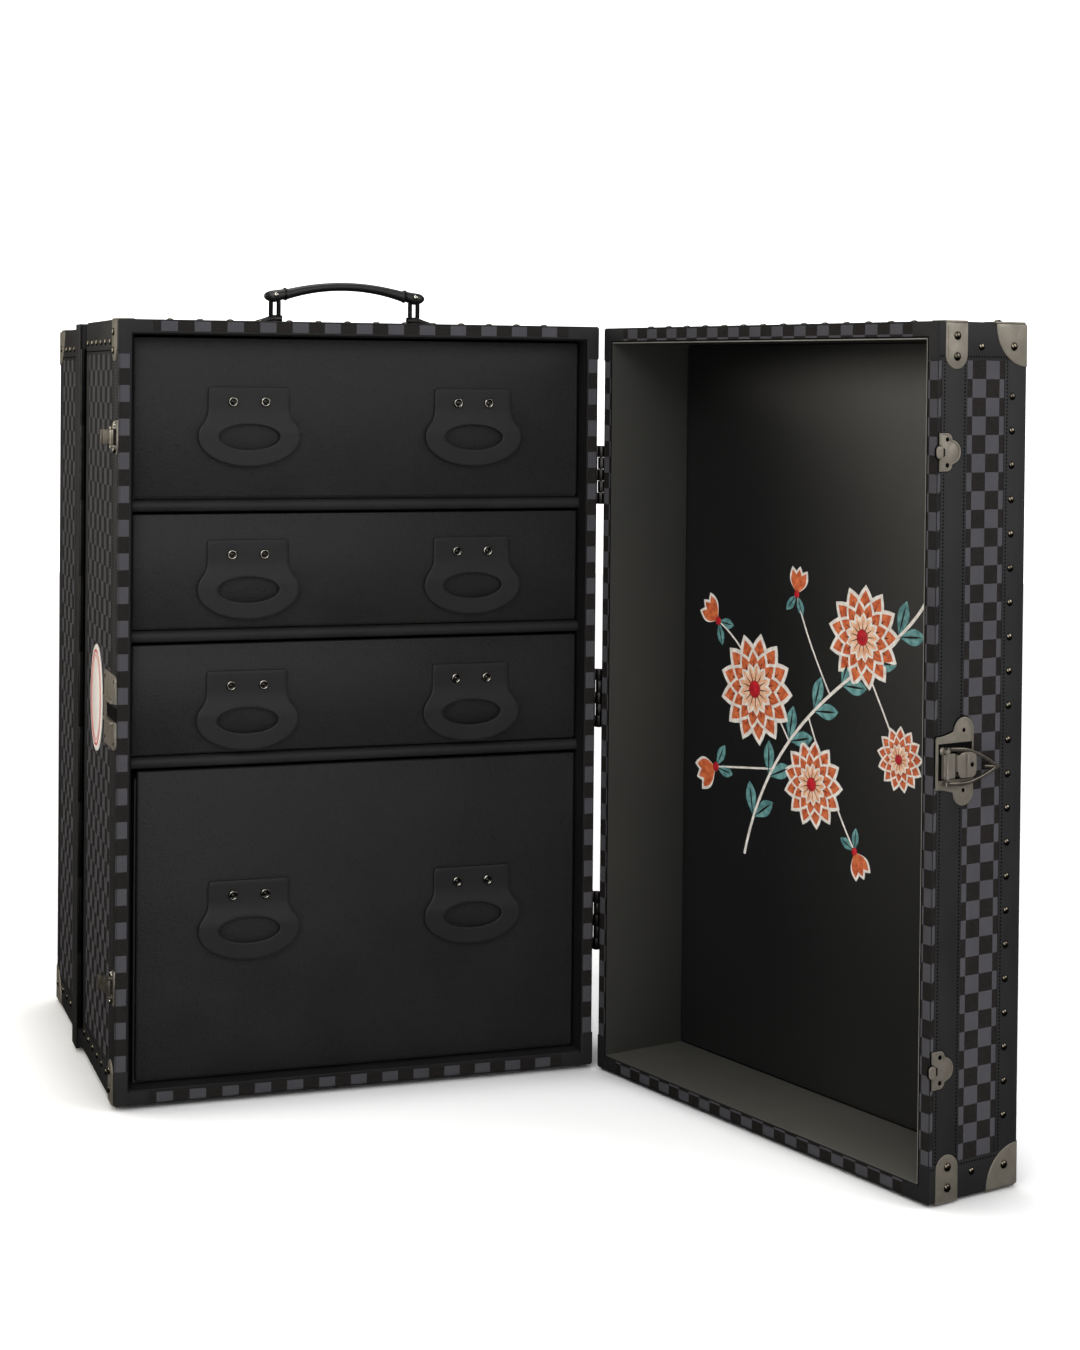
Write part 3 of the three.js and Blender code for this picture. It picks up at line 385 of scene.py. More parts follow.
class Graph:
    """A material with short calls for the nodes that it needs."""

    def __init__(self, name, slot):
        self.material = bpy.data.materials.new(name)
        self.material.use_nodes = True
        self.material["slot"] = slot
        self.tree = self.material.node_tree
        self.shader = self.tree.nodes["Principled BSDF"]

    def put(self, socket, value):
        if isinstance(value, bpy.types.NodeSocket):
            self.tree.links.new(value, socket)
        elif value is not None:
            socket.default_value = value

    def node(self, kind, output=0, props=None, **values):
        made = self.tree.nodes.new(kind)
        for key, value in (props or {}).items():
            setattr(made, key, value)
        for key, value in values.items():
            self.put(made.inputs[key.replace("_", " ")], value)
        return made.outputs[output]

    def math(self, operation, *values):
        made = self.tree.nodes.new("ShaderNodeMath")
        made.operation = operation
        for socket, value in zip(made.inputs, values):
            self.put(socket, value)
        return made.outputs[0]

    def mix(self, share, first, second):
        made = self.tree.nodes.new("ShaderNodeMix")
        made.data_type = "RGBA"
        self.put(made.inputs[0], share)
        self.put(made.inputs[6], first)
        self.put(made.inputs[7], second)
        return made.outputs[2]

    def ramp(self, value, low, high, start=0.0, end=1.0):
        return self.node("ShaderNodeMapRange", Value=value, From_Min=low, From_Max=high,
                         To_Min=start, To_Max=end)

    def place(self):
        return self.node("ShaderNodeTexCoord", output=3)

    def noise(self, scale, detail, vector=None):
        return self.node("ShaderNodeTexNoise", Vector=vector or self.place(), Scale=scale, Detail=detail)

    def cells(self, scale):
        return self.node("ShaderNodeTexVoronoi", Vector=self.place(), Scale=scale)

    def bump(self, height, strength, distance):
        normal = self.node("ShaderNodeBump", Height=height, Strength=strength, Distance=distance)
        self.put(self.shader.inputs["Normal"], normal)

    def finish(self, color, roughness, metallic=0.0, **others):
        self.put(self.shader.inputs["Base Color"], color)
        self.put(self.shader.inputs["Roughness"], roughness)
        self.put(self.shader.inputs["Metallic"], metallic)
        for key, value in others.items():
            self.put(self.shader.inputs[key.replace("_", " ")], value)
        return self.material


def shade(red, green, blue):
    """A colour from its screen values, 0 to 255."""
    def linear(value):
        value /= 255
        return value / 12.92 if value <= 0.04045 else ((value + 0.055) / 1.055) ** 2.4
    return (linear(red), linear(green), linear(blue), 1.0)


def make_canvas():
    """Checked canvas: its cells are the whole numbers of the piece's UV map."""
    g = Graph("checked_canvas", "checked_canvas")
    uv = g.node("ShaderNodeUVMap")
    across = g.node("ShaderNodeSeparateXYZ", Vector=uv)
    up = g.node("ShaderNodeSeparateXYZ", output=1, Vector=uv)
    count = g.math("ADD", g.math("FLOOR", across), g.math("FLOOR", up))
    dark = g.math("FLOORED_MODULO", count, 2.0)
    threads = CELL / THREAD_PITCH * math.tau
    warp = g.math("SINE", g.math("MULTIPLY", across, threads))
    weft = g.math("SINE", g.math("MULTIPLY", up, threads))
    weave = g.math("MULTIPLY", warp, weft)
    cloud = g.noise(22, 4)
    fine = g.noise(900, 2)
    light_cell = g.mix(cloud, shade(61, 60, 64), shade(73, 72, 76))
    dark_cell = g.mix(cloud, shade(20, 18, 16), shade(29, 26, 23))
    plain = g.mix(dark, light_cell, dark_cell)
    ribbed = g.mix(g.ramp(warp, -1, 1, 0, 0.22), plain, shade(16, 15, 15))
    worn = g.mix(g.ramp(fine, 0.35, 0.75, 0, 0.14), ribbed, shade(84, 82, 84))
    edge_across = g.math("ABSOLUTE", g.math("SUBTRACT", g.math("FRACT", across), 0.5))
    edge_up = g.math("ABSOLUTE", g.math("SUBTRACT", g.math("FRACT", up), 0.5))
    edge = g.ramp(g.math("MAXIMUM", edge_across, edge_up), 0.44, 0.5, 1, 0)
    raised = g.math("MULTIPLY", edge, g.math("SUBTRACT", 1.0, dark))
    height = g.math("ADD", g.math("MULTIPLY", weave, 0.25), raised)
    g.bump(height, 0.5, RELIEF["weave"])
    return g.finish(worn, g.ramp(cloud, 0.3, 0.7, 0.5, 0.6), Specular_IOR_Level=0.06)


def make_leather(name, slot, color, worn_color, grain, depth, roughness, specular):
    """Leather with a pebbled grain, cloudy colour, soft wear and painted shade in the creases between its pebbles.
    """
    g = Graph(name, slot)
    pebbles = g.cells(1 / grain)
    cloud = g.noise(9, 5)
    pores = g.noise(2.6 / grain, 3)
    tinted = g.mix(g.ramp(cloud, 0.35, 0.7), color, worn_color)
    # Darker towards the edges of the pebbles, where the bump is lowest: painted shade in the grain's creases.
    crease_shaded = g.mix(g.ramp(pebbles, 0.55, 0.9, 0, 0.35), tinted, shade(8, 8, 8))
    height = g.math("ADD", g.math("MULTIPLY", pebbles, -0.8), g.math("MULTIPLY", pores, 0.5))
    g.bump(height, 0.5, depth)
    gloss = g.ramp(cloud, 0.3, 0.7, roughness - 0.05, roughness + 0.07)
    return g.finish(crease_shaded, gloss, Specular_IOR_Level=specular)


def make_lining(name, slot, color, other, roughness):
    """Matt lining with a fine felt-like grain."""
    g = Graph(name, slot)
    cloud = g.noise(6, 4)
    fibre = g.noise(1400, 3)
    tinted = g.mix(g.ramp(cloud, 0.3, 0.7), color, other)
    speckled = g.mix(g.ramp(fibre, 0.4, 0.7, 0, 0.2), tinted, shade(80, 79, 72))
    g.bump(fibre, 0.25, RELIEF["felt"])
    return g.finish(speckled, roughness, Specular_IOR_Level=0.3)


def make_panel():
    """Smooth panel whose faint vertical grain softens its reflections."""
    g = Graph("panel", "panel")
    stretched = g.node("ShaderNodeMapping", Vector=g.place(), Scale=(1, 1, 0.06))
    grain = g.noise(700, 3, stretched)
    cloud = g.noise(4, 3)
    tinted = g.mix(g.ramp(cloud, 0.3, 0.7), shade(9, 9, 9), shade(14, 14, 15))
    g.bump(grain, 0.12, RELIEF["panel"])
    return g.finish(tinted, g.ramp(grain, 0.3, 0.7, 0.47, 0.53), Specular_IOR_Level=1.0)


def make_metal(name, slot, color, dull_color, roughness, metallic):
    """Metal with brushed streaks and duller patches."""
    g = Graph(name, slot)
    streaked = g.node("ShaderNodeMapping", Vector=g.place(), Scale=(1, 1, 8))
    streaks = g.noise(420, 3, streaked)
    patches = g.noise(60, 4)
    tinted = g.mix(g.ramp(patches, 0.35, 0.7), color, dull_color)
    g.bump(streaks, 0.12, RELIEF["brushing"])
    gloss = g.ramp(patches, 0.3, 0.75, roughness - 0.05, roughness + 0.12)
    return g.finish(tinted, gloss, metallic)


def make_paint(name, slot, color, other, roughness):
    """Printed ink or enamel with slight changes of tone."""
    g = Graph(name, slot)
    cloud = g.noise(130, 4)
    tinted = g.mix(g.ramp(cloud, 0.35, 0.65), color, other)
    g.bump(g.noise(900, 2), 0.1, RELIEF["paint"])
    return g.finish(tinted, roughness, Specular_IOR_Level=0.3)


def make_board():
    """Plain board with grain along its length."""
    g = Graph("board", "board")
    stretched = g.node("ShaderNodeMapping", Vector=g.place(), Scale=(0.08, 1, 1))
    grain = g.noise(260, 5, stretched)
    tinted = g.mix(g.ramp(grain, 0.35, 0.65), shade(78, 62, 44), shade(50, 38, 26))
    g.bump(grain, 0.3, RELIEF["board"])
    return g.finish(tinted, 0.7)


def make_thread():
    """Waxed thread with a fine twist."""
    g = Graph("thread", "leather")
    twist = g.noise(2600, 2)
    tinted = g.mix(g.ramp(twist, 0.35, 0.65), shade(2, 2, 2), shade(8, 8, 8))
    return g.finish(tinted, 0.9, Specular_IOR_Level=0.05)


def make_stage():
    """Plain pale floor that glows a little as painted light, and whose glow fades where something stands close
    over it, a painted contact shadow.
    """
    g = Graph("studio_floor", "")
    tinted = g.mix(g.noise(2, 2), (0.90, 0.90, 0.90, 1), (0.92, 0.92, 0.92, 1))
    away = g.node("ShaderNodeVectorMath", 1, {"operation": "LENGTH"}, Vector=g.place())
    # Ambient occlusion takes the glow away under and beside the trunk: painted contact shadow.
    openness = g.node("ShaderNodeAmbientOcclusion", 1, {"samples": 8}, Distance=CONTACT_REACH)
    open_share = g.ramp(openness, 0.5, 0.95)
    glow = g.math("MULTIPLY", open_share, g.ramp(away, GLOW_START, GLOW_END, GLOW_NEAR, GLOW_FAR))
    return g.finish(tinted, 0.9, Specular_IOR_Level=0.0, Emission_Color=(1, 1, 1, 1),
                    Emission_Strength=glow)


def make_backdrop():
    """Plain white that shines a little unevenly."""
    g = Graph("studio_backdrop", "")
    glow = g.ramp(g.noise(1, 2), 0.3, 0.7, 1.0, 1.05)
    return g.finish((1, 1, 1, 1), 0.9, Emission_Color=(1, 1, 1, 1), Emission_Strength=glow)


MATERIALS = {
    "checked_canvas": make_canvas(),
    "panel": make_panel(),
    "board": make_board(),
    "thread": make_thread(),
}
for table, make in (
    (LEATHERS, make_leather),
    (LININGS, make_lining),
    (PAINTS, make_paint),
    (METALS, make_metal),
):
    for name, (slot, color, other, *values) in table.items():
        MATERIALS[name] = make(name, slot, shade(*color), shade(*other), *values)


# Meshes

def finished_mesh(bm, name):
    """Turns a bmesh into a mesh that is smooth except at its sharp edges."""
    mesh = bpy.data.meshes.new(name)
    bmesh.ops.recalc_face_normals(bm, faces=bm.faces)
    bm.to_mesh(mesh)
    bm.free()
    mesh.shade_smooth()
    mesh.set_sharp_from_angle(angle=SHARP_ANGLE)
    return mesh


def mesh_from(verts, faces, name):
    """A mesh from lists of points and faces."""
    bm = bmesh.new()
    made = [bm.verts.new(v) for v in verts]
    for face in faces:
        bm.faces.new([made[i] for i in face])
    return finished_mesh(bm, name)


def add_piece(name, mesh, look, body, place=UNMOVED, replaced=()):
    """Puts a mesh into the scene as a piece that rides on a body. look names its material."""
    piece = bpy.data.objects.new(name, mesh)
    bpy.context.scene.collection.objects.link(piece)
    material = MATERIALS[look]
    mesh.materials.append(material)
    piece.matrix_world = place
    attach(piece, body)
    if replaced:
        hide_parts(*replaced)
    return piece


def slab_mesh(width, height, thickness, edge, start=(0, 0)):
    """A flat bar over the origin with rounded upper edges. Its UV map counts canvas cells."""
    bm = bmesh.new()
    centre = Matrix.Translation((width / 2, height / 2, thickness / 2))
    size = Matrix.Diagonal((width, height, thickness, 1))
    bmesh.ops.create_cube(bm, size=1, matrix=centre @ size)
    if edge:
        upper = [e for e in bm.edges if max(v.co.z for v in e.verts) > thickness / 2]
        bmesh.ops.bevel(bm, geom=upper, offset=edge, segments=2, profile=0.5, affect="EDGES")
    uv = bm.loops.layers.uv.new("cells")
    for face in bm.faces:
        for loop in face.loops:
            x, y = loop.vert.co.x + start[0], loop.vert.co.y + start[1]
            loop[uv].uv = ((x - COLUMN_START) / CELL, (y - ROW_START) / CELL)
    return finished_mesh(bm, "slab")


def outline_mesh(loops, thickness, edge):
    """A plate from its outlines, the first one solid and the others holes, with rounded edges."""
    curve = bpy.data.curves.new("outline", "CURVE")
    curve.dimensions = "2D"
    curve.fill_mode = "BOTH"
    curve.extrude = thickness / 2 - edge
    curve.bevel_depth = edge
    curve.bevel_resolution = 2
    curve.offset = -edge
    for points in loops:
        spline = curve.splines.new("POLY")
        spline.points.add(len(points) - 1)
        for spot, (x, y) in zip(spline.points, points):
            spot.co = (x, y, 0, 1)
        spline.use_cyclic_u = True
    mesh = mesh_of_curve(curve)
    mesh.transform(Matrix.Translation((0, 0, thickness / 2)))
    return mesh


def wire_mesh(points, radius, cyclic=False, sides=3):
    """A round wire along a list of points."""
    curve = bpy.data.curves.new("wire", "CURVE")
    curve.dimensions = "3D"
    curve.bevel_depth = radius
    curve.bevel_resolution = sides
    curve.use_fill_caps = True
    spline = curve.splines.new("POLY")
    spline.points.add(len(points) - 1)
    for spot, point in zip(spline.points, points):
        spot.co = (*point, 1)
    spline.use_cyclic_u = cyclic
    return mesh_of_curve(curve)


def mesh_of_curve(curve):
    """The mesh that a curve makes, with its doubled points joined."""
    holder = bpy.data.objects.new("holder", curve)
    bpy.context.scene.collection.objects.link(holder)
    shape = holder.evaluated_get(bpy.context.evaluated_depsgraph_get())
    mesh = bpy.data.meshes.new_from_object(shape)
    bpy.data.objects.remove(holder)
    bpy.data.curves.remove(curve)
    bm = bmesh.new()
    bm.from_mesh(mesh)
    bmesh.ops.remove_doubles(bm, verts=bm.verts, dist=WELD_DISTANCE)
    bpy.data.meshes.remove(mesh)
    return finished_mesh(bm, "plate")


def joined_mesh(meshes, name):
    """Several meshes as one."""
    bm = bmesh.new()
    for mesh in meshes:
        bm.from_mesh(mesh)
        bpy.data.meshes.remove(mesh)
    return finished_mesh(bm, name)


def moved(mesh, matrix):
    """The same mesh after a move."""
    mesh.transform(matrix)
    return mesh


def arc(centre, radius, start, end, steps=12):
    """Points on an arc, with its angles in degrees."""
    angles = [math.radians(start + (end - start) * i / steps) for i in range(steps + 1)]
    return [(centre[0] + radius * math.cos(a), centre[1] + radius * math.sin(a)) for a in angles]


def ellipse(centre, width, height, steps=48):
    """Points on an ellipse."""
    return [(centre[0] + x * width / 2, centre[1] + y * height / 2)
            for x, y in arc((0, 0), 1, 0, 360, steps)[:-1]]


def rounded_box(width, height, corner):
    """Outline of a rectangle with round corners, from its lower left corner."""
    points = []
    for x, y, start in ((width, 0, 270), (width, height, 0), (0, height, 90), (0, 0, 180)):
        points += arc((abs(x - corner), abs(y - corner)), corner, start, start + 90, 6)
    return points


def bezier(points, steps):
    """Points on a quadratic or cubic curve, without its first point."""
    result = []
    for i in range(1, steps + 1):
        level = [Vector(p) for p in points]
        while len(level) > 1:
            level = [a.lerp(b, i / steps) for a, b in zip(level, level[1:])]
        result.append(tuple(level[0]))
    return result


def smooth_step(value, low, high):
    """A soft rise from 0 at low to 1 at high."""
    share = min(1, max(0, (value - low) / (high - low)))
    return share * share * (3 - 2 * share)


def lofted(rings, name, closed_ends=True):
    """A skin over rings of points that all have the same count."""
    count = len(rings[0])
    verts = [p for ring in rings for p in ring]
    faces = []
    for r in range(len(rings) - 1):
        for i in range(count):
            a, b = r * count + i, r * count + (i + 1) % count
            faces.append((a, b, b + count, a + count))
    if closed_ends:
        last = (len(rings) - 1) * count
        faces += [tuple(range(count - 1, -1, -1)), tuple(range(last, last + count))]
    return mesh_from(verts, faces, name)


def turned(profile, segments):
    """Points and faces of a shape turned round Z from (radius, height) pairs that end on the axis."""
    verts, faces = [], []
    rings = [p for p in profile if p[0] > 0]
    for radius, height in rings:
        verts += [(x, y, height) for x, y in arc((0, 0), radius, 0, 360, segments)[:-1]]
    for ring in range(len(rings) - 1):
        for i in range(segments):
            a, b = ring * segments + i, ring * segments + (i + 1) % segments
            faces.append((a, b, b + segments, a + segments))
    last = (len(rings) - 1) * segments
    faces.append(tuple(range(segments - 1, -1, -1)))
    if profile[-1][0] > 0:
        faces.append(tuple(range(last, last + segments)))
    else:
        verts.append((0, 0, profile[-1][1]))
        faces += [(last + i, last + (i + 1) % segments, len(verts) - 1) for i in range(segments)]
    return verts, faces


def dome(radius, rise, segments, rings):
    """A domed head that stands on the origin."""
    profile = []
    for i in range(rings + 1):
        angle = math.pi / 2 * i / rings
        profile.append((radius * math.cos(angle) if i < rings else 0, rise * math.sin(angle)))
    return turned(profile, segments)


def eyelet(radius, rise, segments):
    """A round head with a raised rim and a hollow middle."""
    shares = ((1, 0), (1, 0.4), (0.93, 0.8), (0.8, 1), (0.66, 0.85), (0.58, 0.4), (0, 0.3))
    return turned([(radius * x, rise * z) for x, z in shares], segments)


def stitch_shape():
    """One stitch: a short raised lens that lies along X."""
    half, side = STITCH_LENGTH / 2, STITCH_WIDTH / 2
    verts = [(-half, 0, 0), (half, 0, 0)]
    for x in (-half / 2, half / 2):
        verts += [(x, -side, 0), (x, 0, STITCH_RISE), (x, side, 0)]
    faces = [(0, 2, 3), (0, 3, 4), (1, 6, 5), (1, 7, 6), (2, 5, 6, 3), (3, 6, 7, 4)]
    return verts, faces


def petal_shape(fullness, steps=8):
    """A petal of length 1 along X that rises along its middle."""
    verts, faces = [(0, 0, 0)], []
    for i in range(1, steps):
        x = i / steps
        half = fullness * math.sin(math.pi * x ** 1.3)
        verts += [(x, -half, 0), (x, 0, math.sin(math.pi * x)), (x, half, 0)]
    verts.append((1, 0, 0))
    faces += [(0, 1, 2), (0, 2, 3)]
    for i in range(steps - 2):
        a = 1 + 3 * i
        faces += [(a, a + 3, a + 4, a + 1), (a + 1, a + 4, a + 5, a + 2)]
    a, tip = len(verts) - 4, len(verts) - 1
    faces += [(a, tip, a + 1), (a + 1, tip, a + 2)]
    return verts, faces


class Pile:
    """Many copies of one small shape, joined into one piece for each body."""

    all = {}

    def __init__(self, shape, look):
        self.shape = shape
        self.look = look
        self.spots = {}

    @classmethod
    def make(cls, kind, shape, look):
        cls.all[kind] = cls(shape, look)

    def add(self, body, place, spot):
        self.spots.setdefault(body, (place, []))[1].append(spot)

    def build(self, kind):
        verts, faces = self.shape
        points = [Vector(v) for v in verts]
        for body, (place, spots) in self.spots.items():
            all_verts, all_faces = [], []
            for spot in spots:
                first = len(all_verts)
                all_verts += [spot @ p for p in points]
                all_faces += [tuple(first + i for i in face) for face in faces]
            mesh = bpy.data.meshes.new(kind)
            mesh.from_pydata(all_verts, [], all_faces)
            mesh.shade_smooth()
            add_piece(f"{body}_{kind}", mesh, self.look, body, place)


Pile.make("nails", dome(NAIL_RADIUS, NAIL_RISE, 14, 4), "nail_bronze")
Pile.make("rivets", dome(RIVET_RADIUS, RIVET_RISE, 20, 5), "nail_bronze")
Pile.make("stitches", stitch_shape(), "thread")
Pile.make("screws", dome(SCREW_RADIUS, SCREW_RISE, 14, 3), "screw_metal")
Pile.make("pull_rivets", eyelet(PULL_RIVET_RADIUS, PULL_RIVET_RISE, 28), "rivet_nickel")
# Dark domes in the hollows of the pull rivets: painted shade in the hollow.
Pile.make("rivet_shade_hearts", dome(RIVET_HEART, PULL_RIVET_RISE, 24, 6), "dark_metal")
Pile.make("white_petals", petal_shape(0.24), "white_ink")
Pile.make("orange_petals", petal_shape(0.2), "orange_ink")
Pile.make("pale_petals", petal_shape(0.16), "pale_ink")
Pile.make("petal_lines", petal_shape(0.035), "black_ink")
Pile.make("leaves", petal_shape(0.22), "teal_ink")
Pile.make("blossom_hearts", dome(1, 1, 16, 3), "red_ink")


# Faces of boxes

OUTER_SIDES = {
    "front": ((0, 0, 0), (1, 0, 0), (0, 0, 1)),
    "back": ((1, 1, 0), (-1, 0, 0), (0, 0, 1)),
    "left": ((0, 1, 0), (0, -1, 0), (0, 0, 1)),
    "right": ((1, 0, 0), (0, 1, 0), (0, 0, 1)),
    "top": ((0, 0, 1), (1, 0, 0), (0, 1, 0)),
    "bottom": ((0, 1, 0), (1, 0, 0), (0, -1, 0)),
}
INNER_SIDES = {
    "left": ((0, 0, 0), (0, 1, 0), (0, 0, 1)),
    "right": ((1, 1, 0), (0, -1, 0), (0, 0, 1)),
    "bottom": ((0, 0, 0), (1, 0, 0), (0, 1, 0)),
    "top": ((0, 1, 1), (1, 0, 0), (0, -1, 0)),
    "front": ((1, 0, 0), (-1, 0, 0), (0, 0, 1)),
}


class Face:
    """One flat side of a box. u runs across it, v up it, and heights stand out of it.

    A mirrored face counts u from its far edge, so that u starts at the mouth of its shell."""

    def __init__(self, label, body, box, side, place=UNMOVED, sides=OUTER_SIDES, mirrored=False):
        picks, across, up = sides[side]
        self.label, self.body, self.place = f"{label}_{side}", body, place
        across, up = Vector(across), Vector(up)
        self.matrix = Matrix((across, up, across.cross(up))).transposed().to_4x4()
        self.matrix.translation = [box[pick][i] for i, pick in enumerate(picks)]
        size = box[1] - box[0]
        self.width = abs(size.dot(across))
        self.height = abs(size.dot(up))
        self.mirrored = mirrored
        self.count = 0

    def spot(self, u, v, rise=0.0, turn=0.0):
        u = self.width - u if self.mirrored else u
        turn = -turn if self.mirrored else turn
        return self.matrix @ Matrix.Translation((u, v, rise)) @ Matrix.Rotation(turn, 4, "Z")

    def add(self, kind, mesh, look, spot, replaced=()):
        self.count += 1
        name = f"{self.label}_{kind}_{self.count}"
        return add_piece(name, mesh, look, self.body, self.place @ spot, replaced)

    def slab(self, kind, look, across, up, thickness, edge, start=None):
        """A bar over a stretch of the face. start is where its canvas cells start."""
        start = start or (across[0], up[0])
        if self.mirrored:
            start = (2 * COLUMN_START + CELL - across[1], start[1])
        mesh = slab_mesh(across[1] - across[0], up[1] - up[0], thickness, edge, start)
        return self.add(kind, mesh, look, self.spot(across[self.mirrored], up[0]))

    def canvas(self, across=None, up=None, start=None, thickness=CANVAS_THICKNESS):
        across = across or (CASE_EDGE, self.width - CASE_EDGE)
        up = up or (CASE_EDGE, self.height - CASE_EDGE)
        return self.slab("canvas", "checked_canvas", across, up, thickness, 0, start)

    def band(self, across, up):
        return self.slab("band", "band_leather", across, up, BAND_THICKNESS, BAND_EDGE)

    def pile(self, kind, u, v, rise=BAND_THICKNESS, turn=0.0):
        Pile.all[kind].add(self.body, self.place, self.spot(u, v, rise, turn))

    def stitch_line(self, start, end):
        """A row of stitches between two places on the face."""
        run = Vector(end) - Vector(start)
        count = max(1, int(run.length / STITCH_PITCH))
        turn = math.atan2(run.y, run.x)
        for i in range(count):
            u, v = Vector(start) + run * ((i + 0.5) / count)
            self.pile("stitches", u, v, turn=turn)

    def nail_line(self, start, end):
        """A row of nails from one place to another, or one nail where there is no room for two."""
        run = Vector(end) - Vector(start)
        count = round(run.length / NAIL_PITCH)
        for i in range(count + 1):
            u, v = Vector(start) + run * (i / count if count else 0.5)
            self.pile("nails", u, v)

    def end_bands(self, first, last):
        """Leather along the lower and the upper end, with nails and a row of stitches."""
        top = self.height
        for low, nails, stitches in (
            (0, NAIL_DROP, END_BAND - STITCH_INSET),
            (top - END_BAND, top - NAIL_DROP, top - END_BAND + STITCH_INSET),
        ):
            self.band((0, self.width), (low, low + END_BAND))
            self.nail_line((first, nails), (last, nails))
            self.stitch_line((0, stitches), (self.width, stitches))

    def strap(self, low, high):
        """Upright leather strap, stitched along both edges."""
        ends = (END_BAND, self.height - END_BAND)
        self.band((low, high), ends)
        for u in (low + STITCH_INSET, high - STITCH_INSET):
            self.stitch_line((u, ends[0]), (u, ends[1]))

    def binding(self, at_end, width):
        """Upright leather along one edge of the face, stitched, and nailed where it is wide enough."""
        ends = (END_BAND, self.height - END_BAND)
        low = self.width - width if at_end else 0
        inner = low + STITCH_INSET if at_end else width - STITCH_INSET
        self.band((low, low + width), ends)
        self.stitch_line((inner, ends[0]), (inner, ends[1]))
        if width > NAIL_INSET + NAIL_RADIUS:
            nails = self.width - NAIL_INSET if at_end else NAIL_INSET
            self.nail_line((nails, NAIL_START), (nails, self.height - NAIL_START))


# Coverings of the shells

CASE_BOX = box_of("case_shell")
DOOR_BOX = box_of("front_door_shell", DOOR_SHUT)
REAR_BOX = box_of("rear_door_shell")
COLLAR_DEPTH = box_of("rear_door_collar")[1].y - REAR_BOX[0].y
SHELLS = {
    "case": (CASE_BOX, UNMOVED),
    "front_door": (DOOR_BOX, DOOR_OPEN),
    "rear_door": (REAR_BOX, UNMOVED),
}


def shell_face(body, side, use="", mirrored=False):
    """One outer side of a shell. use is a word for the names of its pieces."""
    box, place = SHELLS[body]
    return Face(f"{body}_{use}" if use else body, body, box, side, place, mirrored=mirrored)


def mouth_sides(body, mouth, strap, binding):
    """The left and right faces of a shell: canvas, end bands, a strap at its mouth and a binding."""
    for side in ("left", "right"):
        at_start = (side == "left") == (mouth == "back")
        face = shell_face(body, side, mirrored=not at_start)
        face.canvas()
        rear = binding if body == "case" else NAIL_PAST_CAP
        face.end_bands(strap[1] + NAIL_RADIUS * 4, face.width - rear)
        face.strap(*strap)
        face.binding(True, binding)


def broad_face(body, side):
    """A large plain face: canvas with leather along all four edges."""
    face = shell_face(body, side)
    face.canvas()
    face.end_bands(NAIL_PAST_CAP, face.width - NAIL_PAST_CAP)
    face.binding(False, BINDING)
    face.binding(True, BINDING)


def lid_face(body, side):
    """A top or bottom face: canvas with leather round it and nails along its long edges."""
    face = shell_face(body, side)
    face.canvas()
    face.end_bands(NAIL_PAST_CAP, face.width - NAIL_PAST_CAP)
    for low in (0, face.width - END_BAND):
        face.band((low, low + END_BAND), (END_BAND, face.height - END_BAND))
    for u in (END_BAND - STITCH_INSET, face.width - END_BAND + STITCH_INSET):
        face.stitch_line((u, END_BAND), (u, face.height - END_BAND))


def wrap_mesh(rim, degrees, rise):
    """Canvas round the outer edge of a mouth, along +Y. Its cells go on from those of the rim."""
    upright = degrees % 180 == 0
    length = rim.height if upright else rim.width
    away = degrees in (90, 180)
    ends = (PATCH_LEG, length - PATCH_LEG)
    bm = bmesh.new()
    uv = bm.loops.layers.uv.new("cells")
    rows = []
    for across, out in arc((0, 0), 1, 90, 180, 6):
        x = CASE_EDGE + (CASE_EDGE + CANVAS_THICKNESS) * across
        z = (CASE_EDGE + RIM_COVER) * out - CASE_EDGE
        rows.append([bm.verts.new((x, y, z)) for y in ends])
    for first, second in zip(rows, rows[1:]):
        face = bm.faces.new((first[0], first[1], second[1], second[0]))
        for loop in face.loops:
            y = length - loop.vert.co.y if away else loop.vert.co.y
            around = 0.5 + loop.vert.co.z / CELL
            along = (y - (ROW_START + rise if upright else COLUMN_START)) / CELL
            loop[uv].uv = (1 + around, along) if upright else (along, around)
    return finished_mesh(bm, "wrap")


def rim_canvas(rim, near, far, shift, rise):
    """Canvas along all four sides of a rim, from near to far off its outer edge."""
    width, height = rim.width, rim.height
    column = COLUMN_START + CELL
    ends = (PATCH_LEG, height - PATCH_LEG)
    first = PATCH_LEG - rise
    rim.canvas((near, far), ends, (column + shift * CELL, first), RIM_COVER)
    rim.canvas((width - far, width - near), ends, (column + shift * (near - far), first), RIM_COVER)
    ends = (PATCH_LEG, width - PATCH_LEG)
    rim.canvas(ends, (near, far), (PATCH_LEG, ROW_START + shift * CELL), RIM_COVER)
    top_row = ROW_START + shift * (near - far)
    rim.canvas(ends, (height - far, height - near), (PATCH_LEG, top_row), RIM_COVER)


